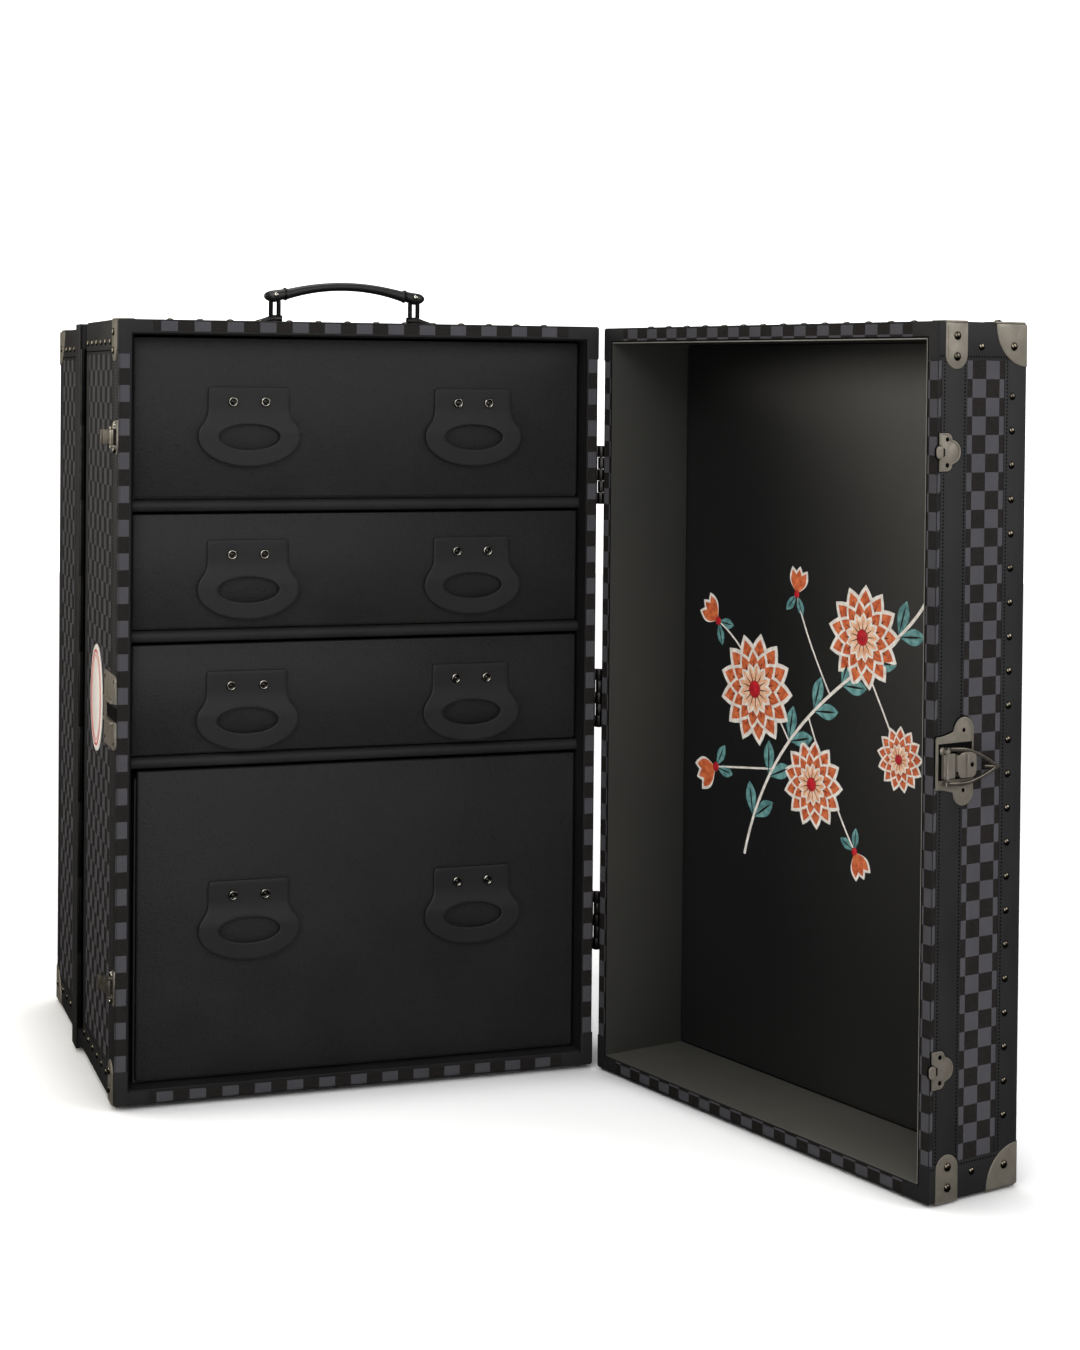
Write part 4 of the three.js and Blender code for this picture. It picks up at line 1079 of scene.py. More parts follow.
def mouth_rim(body, side, ends, rise):
    """Canvas round the mouth of a shell, with a leather patch in each corner.

    ends are how far off the outer edge the rim's first and second row of cells end."""
    rim = shell_face(body, side, "rim")
    width, height = rim.width, rim.height
    thin = CASE_WALL - RIM_INSET
    rim_canvas(rim, CASE_EDGE, ends[0], 0, rise)
    if ends[1] > ends[0]:
        rim_canvas(rim, ends[0], ends[1], 1, rise)
    upright, level = (thin, height - thin), (height - CASE_WALL, height - thin)
    # Near-black strips along the inner edge of the rim: painted shade in the gap at the mouth.
    for low in (thin, width - CASE_WALL):
        rim.slab("shade_strip", "painted_shade_leather", (low, low + RIM_INSET), upright, SHADE_STRIP_RISE, 0)
    rim.slab("shade_strip", "painted_shade_leather", (thin, width - thin), level, SHADE_STRIP_RISE, 0)
    leg = PATCH_LEG
    corner = [(0, 0), (leg, 0), (leg, thin), (thin, thin), (thin, leg), (0, leg)]
    for u, v, turn in ((0, 0, 0), (width, 0, 90), (width, height, 180), (0, height, 270)):
        spot = rim.spot(u, v, 0, math.radians(turn))
        mesh = outline_mesh([corner], RIM_COVER, RIM_COVER / 3)
        rim.add("patch", mesh, "band_leather", spot)
        rim.add("wrap", wrap_mesh(rim, turn, rise), "checked_canvas", spot)


def dress_shells():
    """Canvas and leather on all three shells."""
    strap = (STRAP_START, STRAP_END)
    hidden = (STRAP_START, COLLAR_DEPTH)
    mouth_sides("case", "front", strap, NARROW_BINDING)
    mouth_sides("front_door", "back", strap, BINDING)
    mouth_sides("rear_door", "front", hidden, NARROW_BINDING)
    for side in ("top", "bottom"):
        for body in SHELLS:
            lid_face(body, side)
    broad_face("front_door", "front")
    broad_face("rear_door", "back")
    mouth_rim("case", "front", CASE_CELL_ENDS, CASE_CELL_RISE)
    mouth_rim("front_door", "back", DOOR_CELL_ENDS, DOOR_CELL_RISE)


# Clamps and corner caps

def clamp_outline(inset=0.0):
    """A strap with a round lower end, from its upper left corner."""
    radius = CLAMP_WIDTH / 2
    centre = (radius, -CLAMP_LENGTH + radius)
    return [(inset, -inset), *arc(centre, radius - inset, 180, 360, 20), (CLAMP_WIDTH - inset, -inset)]


def add_clamp(face, setback, from_top, replaced=()):
    """A metal strap that folds over the end of a shell, with a raised middle and two rivets."""
    v = face.height if from_top else 0
    turn = 0 if from_top else math.pi
    u = setback + (CLAMP_WIDTH if from_top == face.mirrored else 0)
    plate = outline_mesh([clamp_outline()], CLAMP_THICKNESS, CLAMP_THICKNESS / 4)
    raised = outline_mesh([clamp_outline(EMBOSS_INSET)], EMBOSS_RISE, EMBOSS_RISE / 3)
    fold = slab_mesh(CLAMP_WIDTH, CLAMP_THICKNESS, CLAMP_FOLD + CLAMP_THICKNESS, CLAMP_THICKNESS / 3)
    meshes = [plate, moved(raised, Matrix.Translation((0, 0, CLAMP_THICKNESS)))]
    meshes.append(moved(fold, Matrix.Translation((0, 0, -CLAMP_FOLD))))
    face.add("clamp", joined_mesh(meshes, "clamp"), "pale_pewter", face.spot(u, v, 0, turn), replaced)
    for step in range(2):
        drop = RIVET_DROP + step * RIVET_SPACING
        along = v - drop if from_top else v + drop
        face.pile("rivets", setback + CLAMP_WIDTH / 2, along, CLAMP_THICKNESS + EMBOSS_RISE)


def cap_quarter():
    """Quarter disc whose corner at the origin is rounded."""
    return arc((0, 0), CAP_RADIUS, 0, 90, 20) + arc((CAP_CORNER, CAP_CORNER), CAP_CORNER, 180, 270, 6)


def corner_cap(name, body, place, corner, signs, replaced=()):
    """A cap round one corner of a shell: three quarter discs in one piece, with a rivet on each."""
    meshes = []
    for normal in range(3):
        first, second = (normal + 1) % 3, (normal + 2) % 3
        columns = ((first, signs[first]), (second, signs[second]), (normal, -signs[normal]))
        rows = [[sign if i == axis else 0 for i in range(3)] for axis, sign in columns]
        spot = Matrix(rows).transposed().to_4x4()
        spot.translation = corner
        mesh = outline_mesh([cap_quarter()], CAP_THICKNESS, CAP_THICKNESS / 4)
        meshes.append(moved(mesh, spot))
        rivet = Matrix.Translation((CAP_RIVET[first], CAP_RIVET[second], CAP_THICKNESS))
        Pile.all["rivets"].add(body, place, spot @ rivet)
    add_piece(name, joined_mesh(meshes, name), "pale_pewter", body, place, replaced)


def dress_corners():
    """Clamps at the mouths and caps at the far corners of the shells."""
    case_left = shell_face("case", "left", "clamps", True)
    door_left = shell_face("front_door", "left", "clamps")
    rear_left = shell_face("rear_door", "left", "clamps", True)
    rear_right = shell_face("rear_door", "right", "clamps")
    for from_top in (True, False):
        z_side = int(from_top)
        end = "top" if from_top else "bottom"
        add_clamp(case_left, CLAMP_SETBACK, from_top, (f"case_clamp_{end}",))
        add_clamp(door_left, CLAMP_SETBACK, from_top, (f"front_door_clamp_{end}",))
        add_clamp(rear_left, COLLAR_DEPTH, from_top)
        add_clamp(rear_right, COLLAR_DEPTH, from_top)
        for x_side, side in ((0, "left"), (1, "right")):
            signs = (1 - 2 * x_side, 1, 1 - 2 * z_side)
            corner = (DOOR_BOX[x_side].x, DOOR_BOX[0].y, DOOR_BOX[z_side].z)
            name = f"front_door_corner_{side}_{end}"
            corner_cap(f"{name}_cap", "front_door", DOOR_OPEN, corner, signs, (name,))
            corner = (REAR_BOX[x_side].x, REAR_BOX[1].y, REAR_BOX[z_side].z)
            signs = (signs[0], -1, signs[2])
            corner_cap(f"rear_door_corner_{side}_{end}_cap", "rear_door", UNMOVED, corner, signs)


# Inside of the front door

def dress_door_inside():
    """Lining on the inner walls, with a paler copy of it on the floor as painted light, and a pale trim on the
    left and the top one that is partly a painted highlight of the lit mouth edge. Returns the panel's face.
    """
    wall = CASE_WALL
    panel_y = box_of("front_door_lining", DOOR_SHUT)[1].y
    low = Vector((DOOR_BOX[0].x + wall, panel_y, DOOR_BOX[0].z + wall))
    high = Vector((DOOR_BOX[1].x - wall, DOOR_BOX[1].y, DOOR_BOX[1].z - wall))
    box = (low, high)
    for side in ("left", "right", "bottom", "top"):
        face = Face("front_door_inside", "front_door", box, side, DOOR_OPEN, INNER_SIDES)
        upright = side in ("left", "right")
        depth = face.width if upright else face.height
        trimmed = MOUTH_TRIM if side in ("left", "top") else 0
        near = depth - trimmed
        cloth, trim = ((trimmed, depth), (0, trimmed)) if side == "top" else ((0, near), (near, depth))
        length = (0, face.height if upright else face.width)
        # The floor gets the paler copy of the lining, painted light from above.
        strips = [("lining", "painted_lit_floor_lining" if side == "bottom" else "lining", cloth, LINING_THICKNESS)]
        if trimmed:
            # The trim's pale colour is partly a painted highlight of the lit mouth edge.
            strips.append(("trim", "pale_trim_and_highlight", trim, TRIM_RISE))
        for kind, look, span, rise in strips:
            across, up = (span, length) if upright else (length, span)
            face.slab(kind, look, across, up, rise, LINING_EDGE)
    return Face("front_door_panel", "front_door", box, "front", DOOR_OPEN, INNER_SIDES)


# Picture on the lining panel

def lay(panel, kind, u, v, rise, turn, length, height=PICTURE_RISE):
    """Lays one small shape on the panel, scaled to a length and a height."""
    spot = panel.spot(u, v, rise, turn) @ Matrix.Diagonal((length, length, height, 1))
    Pile.all[kind].add(panel.body, panel.place, spot)


def blossom(panel, u, v, radius, turn):
    """A round flower of three rings of petals, each orange on white with a dark vein."""
    step = math.tau / PETALS
    for ring in range(3):
        length = radius * (1 - 0.26 * ring)
        base = PICTURE_RISE * (1 + 3 * ring)
        top_petals = "orange_petals" if ring < 2 else "pale_petals"
        layers = (("white_petals", 1.0), (top_petals, 0.9), ("petal_lines", 0.72))
        for i in range(PETALS):
            angle = turn + step * (i + 0.5 * ring)
            for lift, (kind, share) in enumerate(layers):
                lay(panel, kind, u, v, base + lift * PICTURE_RISE * 0.7, angle, length * share)
    lay(panel, "blossom_hearts", u, v, PICTURE_RISE * 8, 0, radius * 0.16, PICTURE_RISE * 4)


def leaf_pair(panel, u, v, turn, length):
    """Two leaves that spread from one place, each with a dark middle line."""
    for side in (-1, 1):
        angle = turn + side * LEAF_SPREAD
        lay(panel, "leaves", u, v, PICTURE_RISE * 0.5, angle, length)
        lay(panel, "petal_lines", u, v, PICTURE_RISE * 1.5, angle, length * 0.9)


def bud(panel, u, v, radius, degrees):
    """A closed flower: three petals that fan out from two leaves."""
    for spread in (-24, 0, 24):
        angle = math.radians(degrees + spread)
        lay(panel, "white_petals", u, v, PICTURE_RISE, angle, radius * 2)
        lay(panel, "orange_petals", u, v, PICTURE_RISE * 2, angle, radius * 2 * 0.88)
    lay(panel, "blossom_hearts", u, v, PICTURE_RISE * 2, 0, radius * 0.28, PICTURE_RISE * 3)
    leaf_pair(panel, u, v, math.radians(degrees + 180), radius * 1.6)


def stem_mesh(stem):
    """The flattened stem and its twigs in one."""
    lines = [(stem, STEM_RADIUS)]
    for start, bend, flower in TWIGS:
        twig = [stem[start], *bezier((stem[start], bend, flower[:2]), 10)]
        lines.append((twig, TWIG_RADIUS))
    meshes = [wire_mesh([(x, y, 0) for x, y in line], radius) for line, radius in lines]
    return moved(joined_mesh(meshes, "stem"), Matrix.Diagonal((1, 1, STEM_FLATNESS, 1)))


def draw_picture(panel):
    """A curved stem with leaves, four blossoms and four buds."""
    floor = panel.matrix.translation.z
    stem = [STEM_POINTS[0], *bezier(STEM_POINTS, 40)]
    panel.add("stem", stem_mesh(stem), "white_ink", panel.spot(0, -floor))
    for i in range(4, len(stem) - 2, 5):
        a, b = Vector(stem[i]), Vector(stem[i + 1])
        leaf_pair(panel, a.x, a.y - floor, math.atan2(b.y - a.y, b.x - a.x), LEAF_LENGTH)
    for i, (u, v, radius) in enumerate(BLOSSOMS):
        blossom(panel, u, v - floor, radius, i)
    for u, v, radius, degrees in BUDS:
        bud(panel, u, v - floor, radius, degrees)


# Pulls on the drawers

def pull_outline():
    """Outline of a pull as (across, below its top) pairs, once round from the middle of its top."""
    half, top = PULL_WIDTH / 2, PULL_TOP_WIDTH / 2
    waist = (PULL_FLAT + PULL_HOLE_DROP) / 2
    low = PULL_HEIGHT - PULL_HOLE_DROP
    round_share = 0.552
    right = [(top * i / 8, 0) for i in range(8)]
    right += [(top - PULL_CORNER, 0), *bezier([(top - PULL_CORNER, 0), (top, 0), (top, PULL_CORNER)], 5)]
    right += [(top, PULL_CORNER + (PULL_FLAT - PULL_CORNER) * i / 4) for i in range(1, 5)]
    right += bezier([(top, PULL_FLAT), (top, waist), (half, waist), (half, PULL_HOLE_DROP)], 14)
    right += bezier([(half, PULL_HOLE_DROP), (half, PULL_HOLE_DROP + low * round_share),
                     (half * round_share, PULL_HEIGHT), (0, PULL_HEIGHT)], 26)
    return right + [(-x, y) for x, y in right[-2:0:-1]]


def pull_mesh():
    """A leather pull round its finger hole. It lies flat at its top and bows out at the hole."""
    centre = Vector((0, PULL_HOLE_DROP))
    outer = [Vector(p) for p in pull_outline()]
    inner = []
    for p in outer:
        way = p - centre
        stretch = Vector((way.x / (PULL_HOLE_WIDTH / 2), way.y / (PULL_HOLE_HEIGHT / 2)))
        inner.append(centre + way / stretch.length)

    def ring(share, inset, rise):
        points = []
        for a, b in zip(outer, inner):
            p = a.lerp(b, share) + (b - a).normalized() * inset
            bow = PULL_BOW * smooth_step(p.y, PULL_FLAT, PULL_FLAT + PULL_BEND)
            points.append((p.x, -p.y, rise + bow))
        return points

    full, edge = PULL_THICKNESS, PULL_EDGE
    rings = [ring(0, 0, 0), ring(0, 0, full - edge), ring(0, edge * 0.3, full - edge * 0.3)]
    rings += [ring(i / PULL_RINGS, edge * (1 - 2 * i / PULL_RINGS), full) for i in range(PULL_RINGS + 1)]
    rings += [ring(1, -edge * 0.3, full - edge * 0.3), ring(1, 0, full - edge)]
    rings += [ring(1, 0, 0), ring(0, 0, 0)]
    return lofted(rings, "pull", False)


def add_pulls():
    """Two pulls on each drawer, each with two rivets."""
    upright = Matrix.Rotation(math.pi / 2, 4, "X")
    for number in range(1, 5):
        body = f"drawer_{number}"
        face_y = box_of(f"{body}_front")[0].y
        for side in ("left", "right"):
            node = f"{body}_pull_{side}"
            low, high = box_of(node)
            place = Matrix.Translation(((low.x + high.x) / 2, face_y, high.z)) @ upright
            add_piece(f"{node}_leather", pull_mesh(), "pull_leather", body, place, (node,))
            for x in (-PULL_RIVET_SPACING / 2, PULL_RIVET_SPACING / 2):
                spot = place @ Matrix.Translation((x, -PULL_RIVET_DROP, PULL_THICKNESS))
                Pile.all["pull_rivets"].add(body, UNMOVED, spot)
                # A dark heart in each rivet, painted shade in its hollow.
                Pile.all["rivet_shade_hearts"].add(body, UNMOVED, spot)


# Handle

def grip_ring(x, z, half_width, half_height, steps=24):
    """A rounded section across the grip."""
    points = []
    for i in range(steps):
        angle = math.tau * i / steps
        c, s = math.cos(angle), math.sin(angle)
        y = math.copysign(abs(c) ** 0.75, c) * half_width
        points.append((x, HANDLE_Y + y, z + math.copysign(abs(s) ** 0.75, s) * half_height))
    return points


def grip_stations():
    """(x, z, half width, half height) along the right half of the grip."""
    stations = []
    end = GRIP_APEX - GRIP_SAG
    for i in range(9):
        share = i / 8
        half_height = GRIP_HALF_THICKNESS * (1 + 0.25 * share ** 3)
        z = GRIP_APEX - GRIP_SAG * share ** 2
        stations.append((COLLAR_X * 0.95 * share, z, GRIP_HALF_WIDTH, half_height))
    stations.append((COLLAR_X * 0.99, end - GRIP_DIP, GRIP_HALF_WIDTH * 1.04, GRIP_HALF_THICKNESS * 1.4))
    for i in range(9):
        along = min(1, i / 4)
        around = max(0, math.sin((i - 4) / 4 * math.pi / 2))
        x = COLLAR_X + (NOSE_X - COLLAR_X) * along + (NOSE_END - NOSE_X) * around
        shrink = math.sqrt(max(0.02, 1 - max(0, (x - NOSE_X) / (NOSE_END - NOSE_X)) ** 2))
        half_height = NOSE_HALF_HEIGHT * (0.85 + 0.15 * along) * shrink
        z = end + (NOSE_Z - end) * along
        stations.append((x + NOSE_GAP, z, GRIP_HALF_WIDTH * shrink, half_height))
    return stations


def add_grip():
    """The smooth arched grip with its two noses."""
    right = grip_stations()
    stations = [(-x, z, w, h) for x, z, w, h in right[:0:-1]] + right
    grip = lofted([grip_ring(*s) for s in stations], "grip")
    add_piece("handle_grip_leather", grip, "grip_leather", "handle", UNMOVED, ("handle_grip",))


def add_loop(node):
    """An upright wire loop with round ends."""
    low, high = box_of(node)
    half = (high.x - low.x) / 2 - LOOP_RADIUS
    x, bottom, top = (low.x + high.x) / 2, low.z + LOOP_RADIUS, high.z - LOOP_RADIUS
    points = arc((x, top - half), half, 0, 180) + arc((x, bottom + half), half, 180, 360)
    wire = wire_mesh([(x, HANDLE_Y, z) for x, z in points], LOOP_RADIUS, True)
    add_piece(f"{node}_wire", wire, "black_metal_and_shade", "handle", UNMOVED, (node,))


def add_handle_end(side, sign):
    """The collar of the grip, the foot below it and the two heads of the pin in the nose."""
    half_width = GRIP_HALF_WIDTH + COLLAR_GAP
    ring = grip_ring(sign * COLLAR_X, GRIP_APEX - GRIP_SAG, half_width, COLLAR_HALF_HEIGHT)
    add_piece(f"handle_collar_{side}", wire_mesh(ring, COLLAR_RADIUS, True), "dark_metal", "handle")
    sections = [(sign * (FOOT_START + along), FOOT_Z - down, half) for along, down, half in FOOT_SECTIONS]
    foot = lofted([grip_ring(x, z, FOOT_HALF_WIDTH, half) for x, z, half in sections], "foot")
    add_piece(f"handle_foot_{side}", foot, "dark_metal", "case")
    for end, name in ((-1, "rear"), (1, "front")):
        place = (sign * LOOP_X, HANDLE_Y - end * GRIP_HALF_WIDTH * 0.98, NOSE_Z + PIN_LIFT)
        spot = Matrix.Translation(place) @ Matrix.Rotation(end * math.pi / 2, 4, "X")
        pin = mesh_from(*dome(PIN_RADIUS, PIN_RISE, 16, 4), "pin")
        add_piece(f"handle_pin_{side}_{name}", pin, "rivet_nickel", "handle", spot)


def add_handle():
    """The grip, and at each end of it a wire loop, a collar, a foot and a pin."""
    add_grip()
    for side, sign in (("left", -1), ("right", 1)):
        add_loop(f"handle_loop_{side}")
        add_handle_end(side, sign)


# Fittings on the left side

def inset_outline(points, amount):
    """The same closed outline, moved inwards. Its points run against the clock."""
    result = []
    for i, point in enumerate(points):
        before, after = Vector(points[i - 1]), Vector(points[(i + 1) % len(points)])
        way = (after - before).normalized()
        result.append((point[0] - way.y * amount, point[1] + way.x * amount))
    return result


def lobe_outline():
    """Outline of the plates of latches and keepers, from their edge at the mouth."""
    tip, low = LOBE_HEIGHT / 2, LOBE_HEIGHT / 2 - LOBE_RADIUS
    waist = LOBE_SHOULDER + LOBE_RADIUS
    points = [(0, -tip), *arc((LOBE_SHOULDER, -low), LOBE_RADIUS, -90, 0, 6)]
    points += bezier([(waist, -low), (LOBE_WIDTH, -tip / 2), (LOBE_WIDTH, 0)], 8)
    points += bezier([(LOBE_WIDTH, 0), (LOBE_WIDTH, tip / 2), (waist, low)], 8)
    return points + [*arc((LOBE_SHOULDER, low), LOBE_RADIUS, 0, 90, 6)[1:], (0, tip)]


def clasp_outline():
    """Outline of the clasp plate: a straight edge at the mouth between two round lobes."""
    rim, tip = CLASP_RIM_HEIGHT / 2, CLASP_HEIGHT / 2 - CLASP_LOBE
    middle = CLASP_WIDTH - CLASP_LOBE
    points = [(0, -rim), *bezier([(0, -rim), (CLASP_PIVOT, -rim), (middle - CLASP_LOBE, -tip)], 8)]
    points += arc((middle, -tip), CLASP_LOBE, 180, 360, 16)[1:]
    points += arc((middle, tip), CLASP_LOBE, 0, 180, 16)
    return points + bezier([(middle - CLASP_LOBE, tip), (CLASP_PIVOT, rim), (0, rim)], 8)


def add_flat(face, kind, mesh, look, u, v, rise=0.0):
    """Puts a plate on a face. It is turned over where the face counts from its far edge."""
    if face.mirrored:
        mesh.transform(Matrix.Diagonal((-1, 1, 1, 1)))
        mesh.flip_normals()
    face.add(kind, mesh, look, face.spot(u, v, rise))


def add_shadow_ring(face, outline, u, v, rise=0.0):
    """A near-black ring round the foot of a plate: painted shadow in the crevice under its edge."""
    mesh = outline_mesh([inset_outline(outline, -SHADOW_RING_WIDTH)], SHADOW_RING_RISE, SHADOW_RING_RISE / 4)
    add_flat(face, "shadow_ring", mesh, "painted_shade_leather", u, v, rise)


def raised_border(outline):
    """A thin raised border that follows an outline."""
    insets = (PLATE_RIM_INSET, PLATE_RIM_INSET + PLATE_RIM_WIDTH)
    loops = [inset_outline(outline, inset) for inset in insets]
    return outline_mesh(loops, PLATE_RIM_RISE, PLATE_RIM_RISE / 3)


def add_bail(face, v):
    """The clasp's pointed wire loop. It hangs a little in its loose eyes."""
    half = BAIL_HEIGHT / 2
    inner, tip = half - BAIL_WIRE, BAIL_LENGTH - 2 * BAIL_WIRE
    middle = BAIL_LENGTH / 2
    outer = [(0, -half), *bezier([(BAIL_STRAIGHT, -half), (middle, -half), (BAIL_LENGTH, 0)], 14)]
    outer += bezier([(BAIL_LENGTH, 0), (middle, half), (BAIL_STRAIGHT, half)], 14) + [(0, half)]
    hole = [(0, inner), (BAIL_STRAIGHT, inner)]
    hole += bezier([(BAIL_STRAIGHT, inner), (middle, inner), (tip, 0)], 14)
    hole += bezier([(tip, 0), (middle, -inner), (BAIL_STRAIGHT, -inner)], 14) + [(0, -inner)]
    loop = outline_mesh([outer + hole], BAIL_WIRE, BAIL_WIRE / 4)
    meshes = [moved(loop, Matrix.Translation((0, 0, -BAIL_WIRE / 2)))]
    for end in (-1, 1):
        ring = [(0, end * (half - BAIL_WIRE / 2 + i * BAIL_WIRE / 2), 0) for i in (-1, 1)]
        meshes.append(wire_mesh(ring, BAIL_EYE, False, 5))
    hook = [(tip - 2 * BAIL_EYE * i, 0, -BAIL_WIRE / 2 * math.sin(i)) for i in (0, 1, 2)]
    meshes.append(wire_mesh(hook, BAIL_WIRE / 2.4, False, 4))
    piece_mesh = joined_mesh(meshes, "bail")
    spot = face.spot(FITTING_SETBACK + CLASP_PIVOT, v, BAIL_RISE, BAIL_TILT)
    add_piece("clasp_bail_loop", piece_mesh, "pewter", "clasp_bail", DOOR_OPEN @ spot, ("clasp_bail",))


def clasp_block_outline():
    """Outline of the block in the clasp's window."""
    return rounded_box(CLASP_BLOCK_WIDTH, CLASP_BLOCK_HEIGHT, LOBE_RADIUS)


def add_clasp_window(face, v):
    """The clasp's opening as a near-black plate of painted shade, its inner tongue, a near-black ring painted as
    the shadow round its block, and the eye of its hinge.
    """
    low, high = CLASP_WINDOW
    outline = rounded_box(high - low, 2 * WINDOW_HALF, HOOK_EDGE)
    # Painted shade: a near-black plate where the clasp's opening is.
    window = outline_mesh([outline], WINDOW_RISE, WINDOW_RISE / 4)
    add_flat(face, "window", window, "black_metal_and_shade", low, v - WINDOW_HALF, CLASP_THICKNESS)
    v -= MECHANISM_DROP
    width, height = TONGUE_SIZE
    tongue = outline_mesh([rounded_box(width, height, HOOK_EDGE)], TONGUE_RISE, HOOK_EDGE / 2)
    add_flat(face, "tongue", tongue, "pale_pewter", TONGUE_START, v - height / 2, CLASP_THICKNESS)
    u = FITTING_SETBACK + CLASP_BLOCK_SETBACK
    add_shadow_ring(face, clasp_block_outline(), u, v - CLASP_BLOCK_HEIGHT / 2, TONGUE_RISE + SHADOW_RING_RISE)
    eye = mesh_from(*dome(EYE_RADIUS, EYE_RISE, 20, 5), "eye")
    add_flat(face, "eye", eye, "pale_pewter", EYE_START, v + BAIL_HEIGHT / 2 - EYE_RADIUS, CLASP_THICKNESS)


def add_clasp_block(face, v):
    """The ridged block that the clasp's hook stands on."""
    block = outline_mesh([clasp_block_outline()], CLASP_BLOCK_RISE, PLATE_RIM_RISE)
    ridge = slab_mesh(CLASP_BLOCK_WIDTH / 6, CLASP_BLOCK_HEIGHT * 0.9, CLASP_BLOCK_RISE / 4, PLATE_RIM_RISE)
    across, up = CLASP_BLOCK_WIDTH * 0.4, CLASP_BLOCK_HEIGHT * 0.05
    ridge = moved(ridge, Matrix.Translation((across, up, CLASP_BLOCK_RISE)))
    u = FITTING_SETBACK + CLASP_BLOCK_SETBACK
    mesh = joined_mesh([block, ridge], "block")
    add_flat(face, "block", mesh, "pale_pewter", u, v - CLASP_BLOCK_HEIGHT / 2)
    face.pile("screws", u + CLASP_BLOCK_WIDTH * 0.75, v, CLASP_BLOCK_RISE)


def add_keeper(face, v, node):
    """A keeper: its lobed plate with a border and a painted shadow round its foot, and the hook that its latch
    catches, with a near-black neck as painted shade under its head.
    """
    rim = moved(raised_border(lobe_outline()), Matrix.Translation((0, 0, LOBE_THICKNESS)))
    plate = outline_mesh([lobe_outline()], LOBE_THICKNESS, LOBE_THICKNESS / 4)
    mesh = joined_mesh([plate, rim], "keeper")
    face.add("keeper", mesh, "pale_pewter", face.spot(FITTING_SETBACK, v), (node,))
    # Painted shadow round the foot of the keeper's plate.
    add_shadow_ring(face, lobe_outline(), FITTING_SETBACK, v)
    rise = HOOK_RISE - HOOK_THICKNESS
    # The neck is near-black: painted shade in the gap under the hook's head.
    neck = outline_mesh([rounded_box(*HOOK_NECK, HOOK_EDGE)], rise + HOOK_THICKNESS / 2, PLATE_RIM_RISE)
    neck_u = HOOK_START + HOOK_HEAD[0] - HOOK_EDGE
    add_flat(face, "hook_neck", neck, "black_metal_and_shade", neck_u, v - HOOK_NECK[1] / 2)
    outline = rounded_box(*HOOK_HEAD, HOOK_CORNER)
    head = outline_mesh([outline], HOOK_THICKNESS, HOOK_EDGE)
    low = v - HOOK_HEAD[1] / 2
    add_flat(face, "hook_head", head, "pale_pewter", HOOK_START, low, rise)
    # Painted shadow round the foot of the hook's head.
    add_shadow_ring(face, outline, HOOK_START, low, rise - SHADOW_RING_RISE)


def dress_latches(case, door):
    """Borders and rivets on the latches of the case, and the screwed keepers of the door."""
    for face, setback, kind in ((case, LOBE_SETBACK, "pull_rivets"), (door, FITTING_SETBACK, "screws")):
        for end, height in LATCH_HEIGHTS.items():
            v = height - face.matrix.translation.z
            if face is case:
                border = raised_border(lobe_outline())
                add_flat(face, "rim", border, "pale_pewter", setback, v, LOBE_THICKNESS)
            else:
                add_keeper(face, v, f"front_door_keeper_{end}")
            for side in (-1, 1):
                lobe_v = v + side * (LOBE_HEIGHT / 2 - LOBE_RADIUS)
                face.pile(kind, setback + LOBE_SHOULDER, lobe_v, LOBE_THICKNESS)


def dress_clasp(door):
    """Border, a near-black ring painted as the shadow round its foot, and screws of the clasp's plate, and what
    stands on it.
    """
    v = MIDDLE_HEIGHT - door.matrix.translation.z
    border = raised_border(clasp_outline())
    add_flat(door, "rim", border, "pale_pewter", FITTING_SETBACK, v, CLASP_THICKNESS)
    add_shadow_ring(door, clasp_outline(), FITTING_SETBACK, v)
    for side in (-1, 1):
        lobe_v = v + side * (CLASP_HEIGHT / 2 - CLASP_LOBE)
        door.pile("screws", FITTING_SETBACK + CLASP_WIDTH - CLASP_LOBE, lobe_v, CLASP_THICKNESS)
    add_clasp_window(door, v)
    add_clasp_block(door, v - MECHANISM_DROP)
    add_bail(door, v - MECHANISM_DROP)


def dress_lock(case):
    """A near-black strip in the lock's slot as painted shade, and its four screws."""
    low, high = box_of("case_lock")
    front, floor = CASE_BOX[0].y, case.matrix.translation.z
    slot_v = low.z + LOCK_SLOT_RISE - floor
    across, up = (low.y - front, high.y - front), (slot_v, slot_v + LOCK_SLOT_HEIGHT)
    # Painted shade in the slot of the lock.
    case.slab("slot", "painted_shade_leather", across, up, BAND_THICKNESS + SHADE_STRIP_RISE, 0)
    for y in (low.y + LOCK_SCREW_INSET, high.y - LOCK_SCREW_INSET):
        for z in (low.z + LOCK_SCREW_INSET, high.z - LOCK_SCREW_INSET):
            case.pile("screws", y - front, z - floor, LOCK_SCREW_RISE)


def dress_fittings():
    """Latches, keepers, clasp and lock on the left side."""
    case = shell_face("case", "left", "fittings", True)
    door = shell_face("front_door", "left", "fittings")
    dress_latches(case, door)
    dress_clasp(door)
    dress_lock(case)


# Side plaque

def dress_plaque():
    """Two thin red rings on the plain oval plaque."""
    face = Face("side_plaque", "case", box_of("side_plaque"), "left")
    centre = (face.width / 2, face.height / 2)
    for inset, width in PLAQUE_RINGS:
        steps = (inset, inset + width)
        loops = [ellipse(centre, face.width - 2 * step, face.height - 2 * step) for step in steps]
        face.add("ring", outline_mesh(loops, RING_RISE, RING_EDGE), "red_enamel", face.spot(0, 0))


dress_shells()
dress_corners()
draw_picture(dress_door_inside())
add_pulls()
add_handle()
dress_plaque()
dress_fittings()
for kind, pile in Pile.all.items():
    pile.build(kind)


# The part's own solids

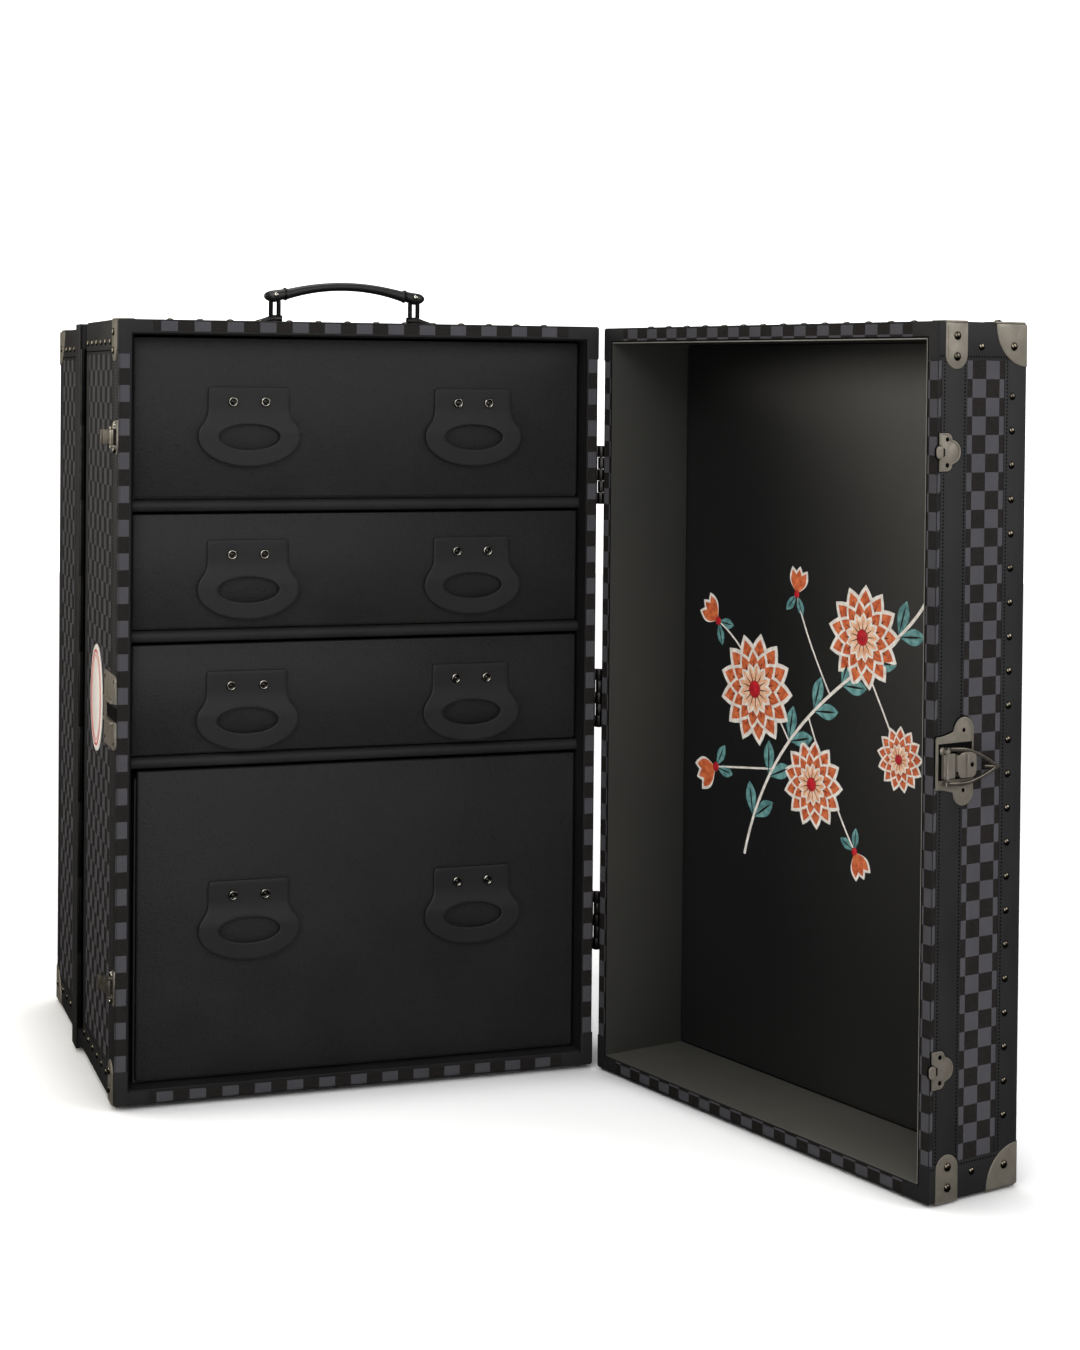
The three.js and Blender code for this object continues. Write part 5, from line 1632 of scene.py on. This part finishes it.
def smoothing_group():
    """Node group that shades a mesh smooth except along its sharp edges."""
    group = bpy.data.node_groups.new("soft_shading", "GeometryNodeTree")
    group.interface.new_socket("Geometry", in_out="INPUT", socket_type="NodeSocketGeometry")
    group.interface.new_socket("Geometry", in_out="OUTPUT", socket_type="NodeSocketGeometry")
    make = group.nodes.new
    start, end = make("NodeGroupInput"), make("NodeGroupOutput")
    faces, edges = make("GeometryNodeSetShadeSmooth"), make("GeometryNodeSetShadeSmooth")
    edges.domain = "EDGE"
    edges.inputs["Shade Smooth"].default_value = False
    angle, compare = make("GeometryNodeInputMeshEdgeAngle"), make("FunctionNodeCompare")
    compare.inputs["B"].default_value = SMOOTH_ANGLE
    link = group.links.new
    link(start.outputs[0], faces.inputs["Geometry"])
    link(faces.outputs[0], edges.inputs["Geometry"])
    link(angle.outputs["Unsigned Angle"], compare.inputs["A"])
    link(compare.outputs[0], edges.inputs["Selection"])
    link(edges.outputs[0], end.inputs[0])
    return group


def dress_nodes():
    """Gives each solid its material, rounded edges and smooth shading."""
    smoothing = smoothing_group()
    for part in frame["record"]["subparts"]:
        node = frame["nodes"][part["node"]]
        slot = part["material_slot"]
        node.data.materials.clear()
        look = NODE_LOOKS.get(part["node"], SLOT_LOOKS.get(slot, slot))
        node.data.materials.append(MATERIALS[look])
        weld = node.modifiers.new("weld", "WELD")
        weld.merge_threshold = WELD_DISTANCE
        edge = NODE_EDGES.get(part["node"], SLOT_EDGES.get(slot, 0))
        if edge:
            bevel = node.modifiers.new("edge", "BEVEL")
            bevel.width = edge
            bevel.segments = BEVEL_SEGMENTS
            bevel.limit_method = "ANGLE"
            bevel.angle_limit = BEVEL_ANGLE
        node.modifiers.new("soft_shading", "NODES").node_group = smoothing


dress_nodes()


# Stage, light and camera

def add_stage():
    """Round floor, and round it a white backdrop that only the camera sees."""
    edge = arc((0, 0), STAGE_RADIUS, 0, 360, STAGE_STEPS)[:-1]
    low = [(x, y, STAGE_LEVEL) for x, y in edge]
    high = [(x, y, STAGE_HEIGHT) for x, y in edge]
    floor_mesh = mesh_from(low, [tuple(range(STAGE_STEPS))], "studio_floor")
    floor = bpy.data.objects.new("studio_floor", floor_mesh)
    floor.visible_glossy = False
    backdrop = bpy.data.objects.new("studio_backdrop", lofted([low, high], "studio_backdrop", False))
    for name in ("diffuse", "glossy", "transmission", "shadow"):
        setattr(backdrop, f"visible_{name}", False)
    for item, material in ((floor, make_stage()), (backdrop, make_backdrop())):
        bpy.context.scene.collection.objects.link(item)
        item.data.materials.append(material)
        item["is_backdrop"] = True


def add_light(name, place, target, size, power, color):
    """A soft square lamp that faces a point."""
    lamp = bpy.data.lights.new(name, "AREA")
    lamp.shape = "SQUARE"
    lamp.size = size
    lamp.energy = power
    lamp.color = color
    holder = bpy.data.objects.new(name, lamp)
    bpy.context.scene.collection.objects.link(holder)
    holder.location = place
    holder.visible_camera = False
    holder.rotation_mode = "QUATERNION"
    holder.rotation_quaternion = (Vector(target) - Vector(place)).to_track_quat("-Z", "Y")


def add_lights():
    """A soft sky and the lamps, with a plain display transform."""
    scene = bpy.context.scene
    scene.view_settings.view_transform = "Standard"
    world = bpy.data.worlds.new("studio")
    scene.world = world
    world.use_nodes = True
    tree = world.node_tree
    place = tree.nodes.new("ShaderNodeTexCoord")
    split = tree.nodes.new("ShaderNodeSeparateXYZ")
    level = tree.nodes.new("ShaderNodeMapRange")
    background = tree.nodes["Background"]
    tree.links.new(place.outputs["Generated"], split.inputs[0])
    tree.links.new(split.outputs["Z"], level.inputs["Value"])
    for name, value in SKY_RANGE.items():
        level.inputs[name].default_value = value
    tree.links.new(level.outputs[0], background.inputs["Strength"])
    for name, values in LAMPS.items():
        add_light(name, *values)


def add_camera():
    """The photograph's camera, from the fit to the corners of the trunk."""
    flat = math.cos(CAMERA_PITCH)
    ahead = Vector((math.sin(CAMERA_YAW) * flat, math.cos(CAMERA_YAW) * flat, math.sin(CAMERA_PITCH)))
    level = Vector((math.cos(CAMERA_YAW), -math.sin(CAMERA_YAW), 0))
    upright = level.cross(ahead)
    right = level * math.cos(CAMERA_ROLL) + upright * math.sin(CAMERA_ROLL)
    up = upright * math.cos(CAMERA_ROLL) - level * math.sin(CAMERA_ROLL)
    data = bpy.data.cameras.new("camera")
    data.sensor_width = SENSOR
    data.lens = SENSOR * FOCAL_PIXELS / PHOTO_HEIGHT
    data.shift_y = (CENTRE_ROW - PHOTO_HEIGHT / 2) / PHOTO_HEIGHT
    data.clip_start = CLIP_START
    camera = bpy.data.objects.new("camera", data)
    bpy.context.scene.collection.objects.link(camera)
    basis = Matrix((right, up, -ahead)).transposed().to_4x4()
    basis.translation = CAMERA_PLACE
    camera.matrix_world = basis
    bpy.context.scene.camera = camera


add_stage()
add_lights()
add_camera()

visual_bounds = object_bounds()
sizes = {"cad": cad_bounds, "visual": visual_bounds}
{key: [list(corner) for corner in box] for key, box in sizes.items()}
